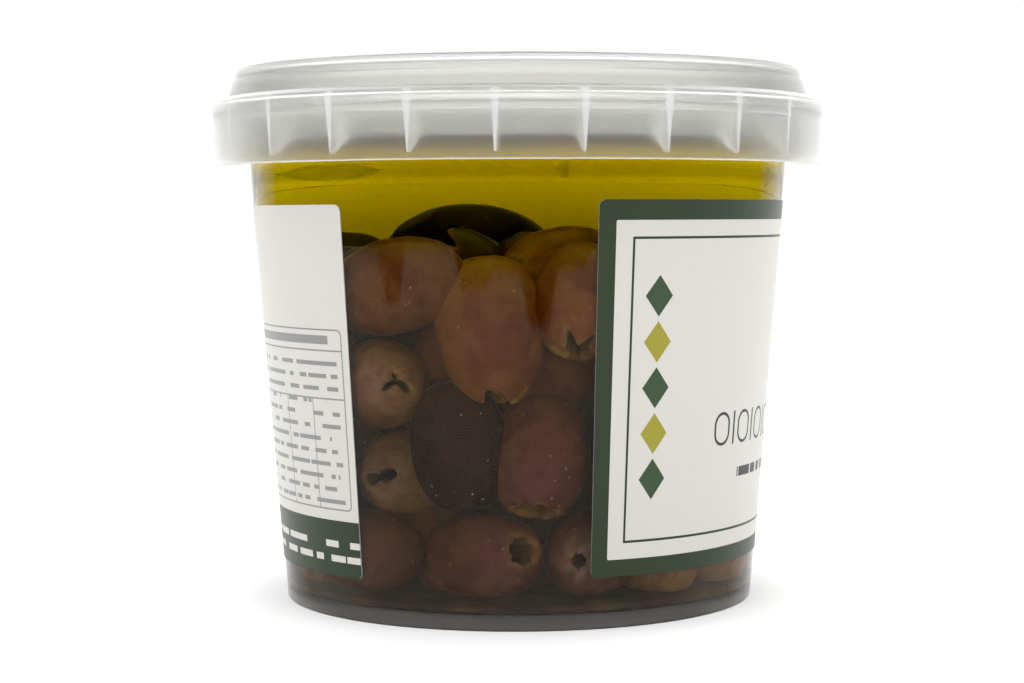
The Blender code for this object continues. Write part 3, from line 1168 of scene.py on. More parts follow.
@dataclass(frozen=True)
class WordBars(Ink):
    """Lines of plain bars in place of small print.

    Attributes:
        pitch: Distance from one line to the next.
        share: Height of a bar as a share of the pitch.
        word: Mean length of a bar.
        shift: How much the noise moves on from line to line.
        gap: Noise under which there is no bar.
    """

    pitch: float = 2.0
    share: float = 0.4
    word: float = 3.0
    shift: float = 7.3
    gap: float = 0.46

    def mask(self, along: Value, up: Value) -> Value:
        """1 on the bars: a striped box, cut into words by noise that changes with the line."""
        graph = along.graph
        line = (up - self.low) / self.pitch
        number = graph.math("FLOOR", line)
        inputs = {0: along / self.word, 1: number * self.shift, 2: 0.0}
        place = graph.node("ShaderNodeCombineXYZ", None, inputs)
        words = graph.noise(place, 1.0, 1.0).above(self.gap)
        return super().mask(along, up) * line.fraction().below(self.share) * words


@dataclass(frozen=True)
class Crease:
    """A fold in a label, in millimetres.

    Attributes:
        along: Place of its middle along the label.
        up: Height of its middle.
        length: Length.
        lean: How far it leans along the label for each millimetre of height.
        width: Half its width.
        depth: Its height as a share of the fibres'.
    """

    along: float
    up: float
    length: float
    lean: float = 0.35
    width: float = 1.8
    depth: float = 2.0

    def height(self, along: Value, up: Value) -> Value:
        """Height of the fold at a place."""
        bend = self.along + (up - self.up) * self.lean
        within = abs(up - self.up).step(self.length / 2.0, 0.0)
        return abs(along - bend).step(self.width, 0.0) * within * self.depth


@dataclass(frozen=True)
class LabelPaper:
    """Finish of a label's face: printed shapes in order on smooth white film.

    Attributes:
        name: Name of the material.
        paper: Colour of the bare film.
        inks: Printed shapes, the lowest first.
        crease: A fold in the film, or None.
        cloud: Features in a metre, finer layers and share of the film's slow shading.
        cloud_tint: Darkest part of that shading.
        fibre: Unevenness of the film.
        roughness: Roughness.
        ior: Index of refraction.
    """

    name: str
    paper: Colour
    inks: tuple[Ink, ...]
    crease: Crease | None = None
    cloud: tuple[float, float, float] = (90.0, 2.0, 0.5)
    cloud_tint: float = 0.93
    fibre: Grain = Grain(((700.0, 3.0, 0.4), (45.0, 1.0, 1.0)), 0.00010, 0.6)
    roughness: float = 0.34
    ior: float = 1.25

    def make(self) -> bpy.types.Material:
        """Builds the finish, which reads the label's own flat coordinates in metres.

        Returns:
            The material.
        """
        material, graph = new_material(self.name)
        flat = graph.node("ShaderNodeUVMap", {"uv_map": "print"})
        along, up = (part * MILLIMETRES for part in graph.parts(flat)[:2])
        vector, _, _, _ = graph.place()
        scale, detail, share = self.cloud
        darker = [part * self.cloud_tint for part in self.paper]
        colour = graph.mix_colours(graph.noise(vector, scale, detail) * share, self.paper, darker)
        for ink in self.inks:
            colour = graph.mix_colours(ink.mask(along, up), colour, ink.colour)
        fold = 0.0 if self.crease is None else self.crease.height(along, up)
        inputs = {
            "Base Color": colour,
            "Roughness": self.roughness,
            "IOR": self.ior,
            "Normal": self.fibre.bend(graph, vector, fold),
        }
        close_material(graph, graph.node("ShaderNodeBsdfPrincipled", None, inputs))
        return material


@dataclass(frozen=True)
class LabelBack:
    """Finish of a label's glued face, seen through the oil from the far side."""

    colour: Colour = (0.90, 0.90, 0.88)
    fibre: Grain = Grain(((500.0, 3.0, 1.0),), 0.0001)

    def make(self) -> bpy.types.Material:
        """The material."""
        material, graph = new_material("label_back_face")
        vector, _, _, _ = graph.place()
        close_material(graph, glowing(graph, self.colour, self.fibre.bend(graph, vector)))
        return material


def add_piece(
    name: str, shape: Shape, materials: Sequence[bpy.types.Material], sharp: float | None = None
) -> bpy.types.Object:
    """Object of a shape, riding on the tub's body.

    Args:
        name: Name of the piece.
        shape: Its mesh.
        materials: Its materials, in slot order.
        sharp: Angle in degrees over which an edge stays sharp, or None.

    Returns:
        The object.
    """
    mesh = shape.mesh(name)
    for material in materials:
        mesh.materials.append(material)
    if sharp is not None:
        mesh.set_sharp_from_angle(angle=math.radians(sharp))
    piece = bpy.data.objects.new(name, mesh)
    bpy.context.scene.collection.objects.link(piece)
    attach(piece, BODY)
    LOG.info("%s: %d points, %d faces", name, len(mesh.vertices), len(mesh.polygons))
    return piece


@dataclass
class Tub:
    """The cup with its rim, flange and security band, and the gussets between."""

    wall: Wall
    floor: float = 0.0010
    floor_fillet: float = 0.0010
    foot_ring: float = 0.0014
    foot_chamfer: float = 0.0005
    flange_low: float = 0.0920
    flange: float = 0.0013
    rim_top: float = 0.1005
    rim_round: float = 0.0003
    catch_above: float = 0.0010
    catch_undercut: float = 0.0006
    catch_edge: float = 0.0004
    catch_ramp: float = 0.0009
    catch_reach: float = 0.0016
    band_low: float = 0.0832
    band_high: float = 0.0950
    band_radius_low: float = 0.05865
    band_radius_high: float = 0.0592
    band_wall: float = 0.0012
    band_round: float = 0.0004
    shoulder_radius: float = 0.0565
    shoulder_high: float = 0.0963
    shoulder_wall: float = 0.0007
    gussets: int = 24
    gusset_bearing: float = -3.7
    gusset_thick: float = 0.0012
    gusset_step: float = 0.0880
    gusset_point: float = 0.0846
    gusset_toe: float = 0.0026
    gusset_tip: float = 0.0003
    gusset_bury: float = 0.0002
    gusset_band_bury: float = 0.0008
    gusset_taper: float = 0.6
    gusset_edge: float = 0.00015
    gusset_sharp: float = 30.0
    stop_share: float = 0.6
    corner_round: float = 0.00025
    longest_side: float = 0.004
    segments: int = 288

    def section(self) -> np.ndarray:
        """Section of the cup from the floor's centre over the rim and band to the underside.

        Returns:
            The section's points as (radius, height).
        """
        wall = self.wall
        trough = self.flange_low + self.flange
        catch_foot = trough + self.catch_above
        catch_low = catch_foot + self.catch_undercut
        catch_high = catch_low + self.catch_edge
        catch_radius = wall.outer(catch_low) + self.catch_reach
        band_low = self.band_radius_low - self.band_wall
        band_high = self.band_radius_high - self.band_wall
        ring_inner = wall.foot_radius - self.foot_ring
        underside = wall.floor_top - self.floor
        fillet_top = wall.floor_top + self.floor_fillet
        path = [
            (0.0, wall.floor_top),
            (wall.inner(wall.floor_top) - self.floor_fillet, wall.floor_top),
            (wall.inner(fillet_top), fillet_top),
            (wall.inner(self.rim_top), self.rim_top - self.rim_round),
            (wall.inner(self.rim_top) + self.rim_round / 2.0, self.rim_top),
            (wall.outer(self.rim_top) - self.rim_round, self.rim_top),
            (wall.outer(self.rim_top), self.rim_top - self.rim_round),
            (wall.outer(catch_high + self.catch_ramp), catch_high + self.catch_ramp),
            (catch_radius, catch_high),
            (catch_radius, catch_low),
            (wall.outer(catch_foot), catch_foot),
            (wall.outer(trough), trough),
            (band_high, trough),
            (band_high, self.band_high - self.band_round),
            (band_high - self.band_round, self.band_high + self.band_round / 4.0),
            (self.shoulder_radius, self.shoulder_high - self.shoulder_wall),
            (self.shoulder_radius, self.shoulder_high),
            (self.band_radius_high - self.band_round, self.band_high + self.band_round),
            (self.band_radius_high, self.band_high),
            (self.band_radius_low, self.band_low),
            (band_low, self.band_low),
            (band_high, self.flange_low),
            (wall.outer(self.flange_low), self.flange_low),
            (wall.outer(self.foot_chamfer), self.foot_chamfer),
            (wall.foot_radius - self.foot_chamfer / 4.0, 0.0),
            (ring_inner, 0.0),
            (ring_inner - self.foot_chamfer / 2.0, underside - self.foot_chamfer),
            (ring_inner - self.foot_chamfer, underside),
            (0.0, underside),
        ]
        return divided(rounded(path, self.corner_round), self.longest_side)

    def gusset(self, bearing: float) -> Shape:
        """Radial plate that ties the band to the wall, under the flange, then down to a point.

        Args:
            bearing: The plate's bearing.

        Returns:
            The plate.
        """
        band_low = self.band_radius_low - self.band_wall
        band_high = self.band_radius_high - self.band_wall
        return self.plate(bearing, np.array([
            (self.wall.outer(self.gusset_step) - self.gusset_bury, self.gusset_step),
            (band_low - self.gusset_toe, self.gusset_step),
            (band_low - self.gusset_tip, self.gusset_point),
            (band_low + self.gusset_band_bury, self.gusset_point),
            (band_high + self.gusset_band_bury, self.flange_low + self.gusset_bury),
            (self.wall.outer(self.flange_low) - self.gusset_bury, self.flange_low + self.gusset_bury),
        ]))

    def stop(self, bearing: float) -> Shape:
        """Small radial plate over the flange, between the lid's skirt and the band."""
        low = self.flange_low + self.flange - self.gusset_bury
        high = self.band_high - self.wall.thickness
        inner = self.shoulder_radius + self.gusset_tip
        outer = self.band_radius_high - self.band_wall + self.gusset_bury
        outline = np.array([(inner, low), (outer, low), (outer, high), (inner, high)])
        return self.plate(bearing, outline, self.stop_share)

    def plate(self, bearing: float, outline: np.ndarray, share: float = 1.0) -> Shape:
        """Radial plate: an outline moved half its thickness to each side of a bearing.

        Below the flange it gets thinner towards its lowest point.

        Args:
            bearing: Bearing of its middle.
            outline: Corners, as (radius, height).
            share: Its thickness as a share of a gusset's.

        Returns:
            The closed plate.
        """
        middle = on_bearing(outline[:, 0], bearing, outline[:, 1])
        fall = (self.flange_low - outline[:, 1]) / (self.flange_low - self.gusset_point)
        thick = self.gusset_thick * share * (1.0 - self.gusset_taper * np.clip(fall, 0.0, 1.0))
        side = on_bearing(1.0, bearing + 90.0, 0.0) * thick[:, None] / 2.0
        count = len(outline)
        points = np.concatenate([middle - side, middle + side])
        corner = np.arange(count)
        after = (corner + 1) % count
        quads = np.stack([corner, after, after + count, corner + count], axis=1)
        fan = np.stack([np.zeros(count - 2, int), corner[1:-1], corner[2:]], axis=1)
        triangles = np.concatenate([fan[:, ::-1], fan + count])
        return Shape(points, quads, triangles).faced_out()

    def build(self, plastic: bpy.types.Material, frosted: bpy.types.Material) -> None:
        """Makes the cup and the gussets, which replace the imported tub.

        Args:
            plastic: Finish of the cup.
            frosted: Finish of the gussets.
        """
        cup = add_piece("tub_cup", lathe(self.section(), self.segments), [plastic], SHARP_EDGE)
        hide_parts("tub")
        bearings = self.gusset_bearing + np.arange(self.gussets) * (TURN / self.gussets)
        kinds = (self.gusset, self.stop)
        plates = joined([kind(float(bearing)) for bearing in bearings for kind in kinds])
        ribs = add_piece("tub_gussets", plates, [frosted], self.gusset_sharp)
        bevel = ribs.modifiers.new("round edges", "BEVEL")
        bevel.width = self.gusset_edge
        bevel.segments = 2


@dataclass
class Lid:
    """The lid: a sunk panel, a stacking ring over the tub's rim, and a skirt that snaps on."""

    rim_top: float
    shoulder_high: float
    wall: float = 0.0009
    top: float = 0.0013
    panel_top: float = -0.0033
    panel_radius: float = 0.0492
    panel_fillet: float = 0.0009
    ring_in: float = 0.05075
    ring_out: float = 0.0543
    ring_round: float = 0.0007
    ring_foot: float = -0.0015
    step_out: float = 0.0005
    skirt_radius: float = 0.05575
    skirt_low: float = -0.0065
    skirt_hook: float = 0.0006
    hook_height: float = 0.0009
    corner_round: float = 0.00025
    longest_side: float = 0.003
    segments: int = 288

    def section(self) -> np.ndarray:
        """Section of the lid, along its upper face and back along its lower one.

        Returns:
            The section's points as (radius, height).
        """
        top = self.top - self.wall / 2.0
        panel = self.panel_top - self.wall / 2.0
        path = [
            (0.0, panel),
            (self.panel_radius, panel),
            (self.panel_radius + self.panel_fillet, panel + self.panel_fillet),
            (self.ring_in, top - self.ring_round),
            (self.ring_in + self.ring_round, top),
            (self.ring_out - self.ring_round, top),
            (self.ring_out, top - self.ring_round),
            (self.ring_out, self.ring_foot + self.step_out),
            (self.ring_out + self.step_out, self.ring_foot),
            (self.skirt_radius, self.shoulder_high - self.rim_top),
            (self.skirt_radius, self.skirt_low + self.hook_height),
            (self.skirt_radius - self.skirt_hook, self.skirt_low),
        ]
        section = rounded(thin_wall(path, self.wall), self.corner_round)
        section = divided(section, self.longest_side)
        return section + np.array([0.0, self.rim_top])

    def build(self, plastic: bpy.types.Material) -> None:
        """Makes the lid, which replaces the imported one.

        Args:
            plastic: Finish of the lid.
        """
        lid = add_piece("lid_shell", lathe(self.section(), self.segments), [plastic], SHARP_EDGE)
        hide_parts("lid")


@dataclass
class Label:
    """A stuck-on label: a thin skin on the wall, with round corners."""

    name: str
    node: str
    slot: str
    wall: Wall
    start: float
    low: float
    high: float
    span: float = 126.0
    corner: float = 0.0013
    sunk: float = 0.00006
    proud: float = 0.00016
    columns: int = 260
    rows: int = 40
    gathered: float = 0.9

    def shape(self) -> Shape:
        """The skin's closed mesh.

        A column on bearing b runs between the low and high edges, less the corner's drop
        c (1 - sqrt(1 - (1 - t)^2)), where t is the distance from the end over the corner's radius.
        The columns gather at the ends, by a sine. The outer face stands proud of the wall, and the
        inner face is sunk into it.

        Returns:
            The skin.
        """
        width = math.radians(self.span) * self.wall.outer((self.low + self.high) / 2.0)
        ease = np.linspace(0.0, 1.0, self.columns)
        share = ease - self.gathered * np.sin(math.tau * ease) / math.tau
        bearing = self.start + self.span * share
        inset = np.clip(np.minimum(share, 1.0 - share) * width / self.corner, 0.0, 1.0)
        drop = self.corner * (1.0 - np.sqrt(1.0 - (1.0 - inset) ** 2))
        up = np.linspace(0.0, 1.0, self.rows)[:, None]
        height = (self.low + drop) * (1.0 - up) + (self.high - drop) * up
        outside = on_bearing(self.wall.outer(height) + self.proud, bearing[None, :], height)
        inside = on_bearing(self.wall.outer(height) - self.sunk, bearing[None, :], height)
        points = np.concatenate([outside.reshape(-1, 3), inside.reshape(-1, 3)])
        flat = np.stack([np.broadcast_to(share * width, height.shape), height], axis=-1)
        prints = np.concatenate([flat.reshape(-1, 2)] * 2)
        number = np.arange(self.rows * self.columns).reshape(self.rows, self.columns)
        face = np.stack([number[:-1, :-1], number[:-1, 1:], number[1:, 1:], number[1:, :-1]], axis=-1)
        face = face.reshape(-1, 4)
        count = number.size
        loop = np.concatenate([number[0], number[1:, -1], number[-1, -2::-1], number[-2:0:-1, 0]])
        after = np.roll(loop, -1)
        rim = np.stack([loop, loop + count, after + count, after], axis=1)
        quads = np.concatenate([face, face[:, ::-1] + count, rim])
        slots = np.concatenate([np.zeros(len(face)), np.ones(len(face) + len(rim))])
        shape = Shape(points, quads, np.zeros((0, 3), int), None, prints, slots)
        return shape.faced_out()

    def build(self, face: bpy.types.Material, back: bpy.types.Material) -> None:
        """Makes the label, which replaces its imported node.

        Args:
            face: Finish of the printed face.
            back: Finish of the glued face.
        """
        piece = add_piece(self.name, self.shape(), [face, back], SHARP_EDGE)
        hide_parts(self.node)


@dataclass(frozen=True)
class MouthForm:
    """How far a mouth reaches at each angle round it, as a share of its mean radius.

    Attributes:
        least: Reach between its arms.
        arm: How much further the arms reach.
        half_arms: Half the number of arms.
        sharp: How narrow the arms are.
        uneven: How much one arm differs from the others.
        ragged: How ragged the edge is.
    """

    least: float
    arm: float = 0.0
    half_arms: float = 1.0
    sharp: float = 1.0
    uneven: float = 0.0
    ragged: float = 1.0

    def reach(self, angle: np.ndarray, rng: np.random.Generator) -> np.ndarray:
        """Reach at each angle: least + arm |cos(half_arms a)|^sharp, and small ragged waves."""
        ragged = sum(
            depth * np.cos(waves * angle + rng.uniform(0.0, math.tau)) for waves, depth in RAGGED_WAVES
        )
        arms = self.arm * np.abs(np.cos(self.half_arms * angle)) ** self.sharp
        even = 1.0 - self.uneven + self.uneven * np.cos(angle + LONGEST_ARM)
        return self.least + arms * even + ragged * self.ragged


class Cut(Enum):
    """How the stone's way out looks at an olive's mouth."""

    ROUND = MouthForm(1.0)
    STAR = MouthForm(0.72, 0.75, 2.5, 2.6, 0.0, 1.5)
    CROSS = MouthForm(0.32, 1.25, 1.5, 5.0, 0.38, 1.5)
    SLIT = MouthForm(0.35, 1.35, 1.0, 3.0)


@dataclass(frozen=True)
class Tone:
    """Colours of one olive, as linear red, green and blue.

    Attributes:
        skin: Most of the skin.
        patch: Blotches on the skin.
        flesh: Torn flesh in and round the mouth.
        tip: Skin at the end away from the mouth.
    """

    skin: Colour
    patch: Colour
    flesh: Colour
    tip: Colour


class Tones(Enum):
    """Named tones of the olives."""

    MAUVE = Tone((0.240, 0.086, 0.032), (0.185, 0.052, 0.022), (0.34, 0.19, 0.07), (0.290, 0.140, 0.050))
    BROWN = Tone((0.290, 0.147, 0.088), (0.215, 0.095, 0.055), (0.32, 0.19, 0.08), (0.270, 0.130, 0.070))
    RUST = Tone((0.180, 0.068, 0.022), (0.125, 0.040, 0.014), (0.34, 0.20, 0.06), (0.200, 0.080, 0.026))
    DARK = Tone((0.038, 0.019, 0.018), (0.027, 0.013, 0.012), (0.16, 0.09, 0.05), (0.050, 0.026, 0.020))
    RED = Tone((0.160, 0.054, 0.045), (0.115, 0.030, 0.027), (0.30, 0.15, 0.08), (0.150, 0.062, 0.044))
    PLUM = Tone((0.168, 0.060, 0.047), (0.108, 0.031, 0.027), (0.24, 0.12, 0.045), (0.120, 0.050, 0.036))
    AMBER = Tone((0.200, 0.085, 0.016), (0.130, 0.050, 0.011), (0.42, 0.30, 0.03), (0.190, 0.085, 0.016))
    GREEN = Tone((0.030, 0.032, 0.010), (0.022, 0.022, 0.008), (0.16, 0.12, 0.04), (0.050, 0.052, 0.012))
    UMBER = Tone((0.235, 0.131, 0.108), (0.170, 0.086, 0.070), (0.20, 0.11, 0.06), (0.200, 0.105, 0.080))
    ROSE = Tone((0.150, 0.056, 0.045), (0.100, 0.032, 0.028), (0.26, 0.14, 0.12), (0.140, 0.055, 0.040))
    TORN = Tone((0.028, 0.017, 0.008), (0.020, 0.012, 0.006), (0.34, 0.13, 0.02), (0.030, 0.018, 0.008))


@dataclass(frozen=True)
class OliveForm:
    """What the olives share: how their mesh is spaced, their lip, bore, dents and shading.

    Attributes:
        spacing: Power by which the rings gather at the mouth.
        egg_spread: How much an olive's egg form may differ from the one given.
        mouth_angles: Smallest and largest sine of the angle at which a mouth starts.
        bore_depth: Depth of the bore, as a share of half the length.
        bore_rows: Rings of the skin for each ring of the bore, and the fewest of the bore.
        bore_shade: Painted shade in the bore: brightness at its mouth, how much of it is lost towards
        the bottom, and how soon.
        scar_ripple: Mean strength of the torn flesh round the mouth, and the size and the
            waves, round and along, of its change.
        tip: Angles between which the colour of the far end sets in.
        drift: Length and number of the waves of the large dents.
        lumps: The same for the small dents.
        creases: The same for the fine creases along the olive.
        blotch: Depths of the dents between which the blotches set in.
    """

    spacing: float = 1.25
    egg_spread: float = 0.03
    mouth_angles: Span = (0.05, 0.95)
    lip_width: float = 0.07
    lip_drop: float = 0.0005
    lip_inset: float = 0.0002
    bore_taper: float = 0.35
    bore_power: float = 0.6
    bore_depth: float = 0.9
    bore_rows: tuple[int, int] = (7, 4)
    bore_shade: tuple[float, float, float] = (0.8, 0.7, 0.5)
    scar_ripple: tuple[float, float, float, float] = (0.75, 0.25, 5.0, 9.0)
    tip: Span = (1.5, 2.9)
    drift: tuple[float, int] = (0.016, 8)
    lumps: tuple[float, int] = (0.006, 14)
    creases: tuple[float, int] = (0.0022, 14)
    crease_stretch: float = 0.35
    lump_depth: float = 0.006
    crease_depth: float = 0.0025
    blotch: Span = (-0.3, 0.7)


@dataclass(frozen=True)
class Olive:
    """One pitted olive and where it lies.

    Attributes:
        bearing: Bearing of its centre.
        height: Height of its centre.
        lean: Lean of its long axis from upright towards +bearing, in degrees.
        turn: Turn of its upper end away from the wall, in degrees.
        length: Length.
        width: Width.
        depth: Distance behind the wall.
        tone: Colours.
        cut: Form of its mouth.
        mouth_low: Whether the mouth is at its lower end.
        spin: Turn about its own length, in degrees.
        mouth: Radius of the mouth as a share of half the width.
        scar: How far torn flesh shows round the mouth, as an angle in radians.
        egg: How much wider it is at the mouth's half than at the other.
        full: How pointed its ends are, 1 for an oval and less for a fuller form.
        dents: Depth of its large dents, as a share of its width.
        form: What it shares with the others.
    """

    bearing: float
    height: float
    lean: float
    turn: float
    length: float
    width: float
    depth: float
    tone: Tones = Tones.BROWN
    cut: Cut = Cut.ROUND
    mouth_low: bool = False
    spin: float = 0.0
    mouth: float = 0.30
    scar: float = 0.05
    egg: float = 0.0
    full: float = 0.93
    dents: float = 0.012
    form: OliveForm = OliveForm()

    def rotation(self) -> np.ndarray:
        """Matrix that turns the olive from its own Z to how it lies."""
        turned_in = Matrix.Rotation(-math.radians(self.turn), 3, "X")
        leaned = Matrix.Rotation(math.radians(self.lean), 3, "Y")
        faced = Matrix.Rotation(math.radians(self.bearing), 3, "Z")
        return np.array(faced @ leaned @ turned_in)

    def centre(self, wall: Wall, gap: float) -> np.ndarray:
        """Centre of the olive, so that its outside clears the wall and floor by a gap.

        Its reach along a direction is the length of its half sizes times the turned axes.

        Args:
            wall: The tub's wall.
            gap: The gap.

        Returns:
            The centre.
        """
        rotation = self.rotation()
        halves = np.array([self.width, self.width, self.length]) / 2.0
        outward = on_bearing(1.0, self.bearing, -wall.flare)
        outward = outward / np.linalg.norm(outward)
        lowest = wall.floor_top + gap + np.linalg.norm(halves * rotation[2])
        height = max(self.height, float(lowest))
        reach = np.linalg.norm(halves * (outward @ rotation))
        return on_bearing(wall.inner(height) - gap - reach - self.depth, self.bearing, height)

    def matrix(self) -> np.ndarray:
        """Matrix that turns the olive from its own mesh to how it lies, its mouth low or high."""
        spin = np.array(Matrix.Rotation(math.radians(self.spin), 3, "Z"))
        flip = np.diag([1.0, -1.0, -1.0]) if self.mouth_low else np.eye(3)
        return self.rotation() @ flip @ spin

    def shape(
        self, rng: np.random.Generator, wall: Wall, gap: float, mesh: tuple[int, int]
    ) -> Shape:
        """The olive's closed mesh: the bore's bottom, its wall, the lip, the skin, the far end.

        The skin at polar angle p has radius b sin(p)^full (1 + egg cos p) and height a cos p. It
        starts at the mouth's angle, which changes round the mouth. The bore goes down from there
        along a cone. Plane waves push the skin in and out.

        Args:
            rng: Source of the unevenness.
            wall: The tub's cone.
            gap: Distance kept to the wall.
            mesh: Number of rings along the skin and of points round it.

        Returns:
            The shape, with a colour at each point.
        """
        form = self.form
        rows, columns = mesh
        half_length = self.length / 2.0
        half_width = self.width / 2.0
        angle = np.arange(columns) * (math.tau / columns)
        mouth = self.mouth * self.cut.value.reach(angle, rng)
        start = np.arcsin(np.clip(mouth, *form.mouth_angles))
        share = np.linspace(0.0, 1.0, rows)[:-1, None] ** form.spacing
        polar = start[None, :] + (math.pi - start[None, :]) * share
        egg = self.egg + rng.uniform(-form.egg_spread, form.egg_spread)
        swollen = (1.0 + egg * np.cos(polar)) / (1.0 + abs(egg) * EGG_SHRINK)
        lip = bell(polar - start[None, :], form.lip_width)
        radius = half_width * np.sin(polar) ** self.full * swollen - form.lip_inset * lip
        height = half_length * np.cos(polar) - form.lip_drop * lip
        every, fewest = form.bore_rows
        bore_rows = max(fewest, rows // every)
        down = (np.arange(1, bore_rows + 1) / bore_rows)[::-1, None]
        bore_radius = radius[0][None, :] * (1.0 - form.bore_taper * down**form.bore_power)
        bore_height = height[0][None, :] - half_length * form.bore_depth * down
        radius = np.concatenate([bore_radius, radius])
        height = np.concatenate([bore_height, height])
        grid = np.stack([radius * np.cos(angle), radius * np.sin(angle), height], axis=-1)
        drift = wave_noise(grid, rng, *form.drift)
        lumps = wave_noise(grid, rng, *form.lumps)
        stretched = grid * np.array([1.0, 1.0, form.crease_stretch])
        creases = wave_noise(stretched, rng, *form.creases)
        swell = 1.0 + self.dents * drift + form.lump_depth * lumps + form.crease_depth * creases
        first = np.array([0.0, 0.0, bore_height[0].mean()])
        last = np.array([0.0, 0.0, -half_length * (1.0 + self.dents * drift[-1].mean())])
        shape = capped_tube(grid * swell[..., None], first, last)
        colour = self.colours(angle, polar, polar - start[None, :], down, drift + 0.5 * lumps)
        ends = np.stack([colour[0].mean(axis=0), colour[-1].mean(axis=0)])
        shape.colours = np.concatenate([colour.reshape(-1, 3), ends])
        shape.points = shape.points @ self.matrix().T + self.centre(wall, gap)
        return shape

    def colours(
        self,
        angle: np.ndarray,
        polar: np.ndarray,
        from_mouth: np.ndarray,
        down: np.ndarray,
        dented: np.ndarray,
    ) -> np.ndarray:
        """Colour at each point: skin, blotches, the far end, then torn flesh and painted shade in the
        bore.

        Args:
            angle: Angles round the olive.
            polar: Polar angles of the skin.
            from_mouth: Those angles from the mouth's edge.
            down: Depths in the bore, from 1 at its bottom.
            dented: How dented each point is.

        Returns:
            The colours, as rings by columns by 3.
        """
        form = self.form
        tone = self.tone.value
        blotch = smooth_step(dented, *form.blotch)[..., None]
        colour = np.array(tone.skin) * (1.0 - blotch) + np.array(tone.patch) * blotch
        in_bore = np.ones((len(down), len(angle)))
        away = np.concatenate([in_bore * 0.0, smooth_step(polar, *form.tip)])[..., None]
        colour = colour * (1.0 - away) + np.array(tone.tip) * away
        mean, change, round_waves, along_waves = form.scar_ripple
        ripple = mean + change * np.cos(round_waves * angle + along_waves * polar)
        raw = bell(from_mouth, self.scar) * ripple
        torn = np.clip(np.concatenate([in_bore, raw]), 0.0, 1.0)[..., None]
        colour = colour * (1.0 - torn) + np.array(tone.flesh) * torn
        # Painted shade: the bore darkens towards its bottom
        light, lost, soon = form.bore_shade
        shade = np.concatenate([light - lost * down[:, 0] ** soon, np.ones(len(polar))])
        return colour * shade[:, None, None]


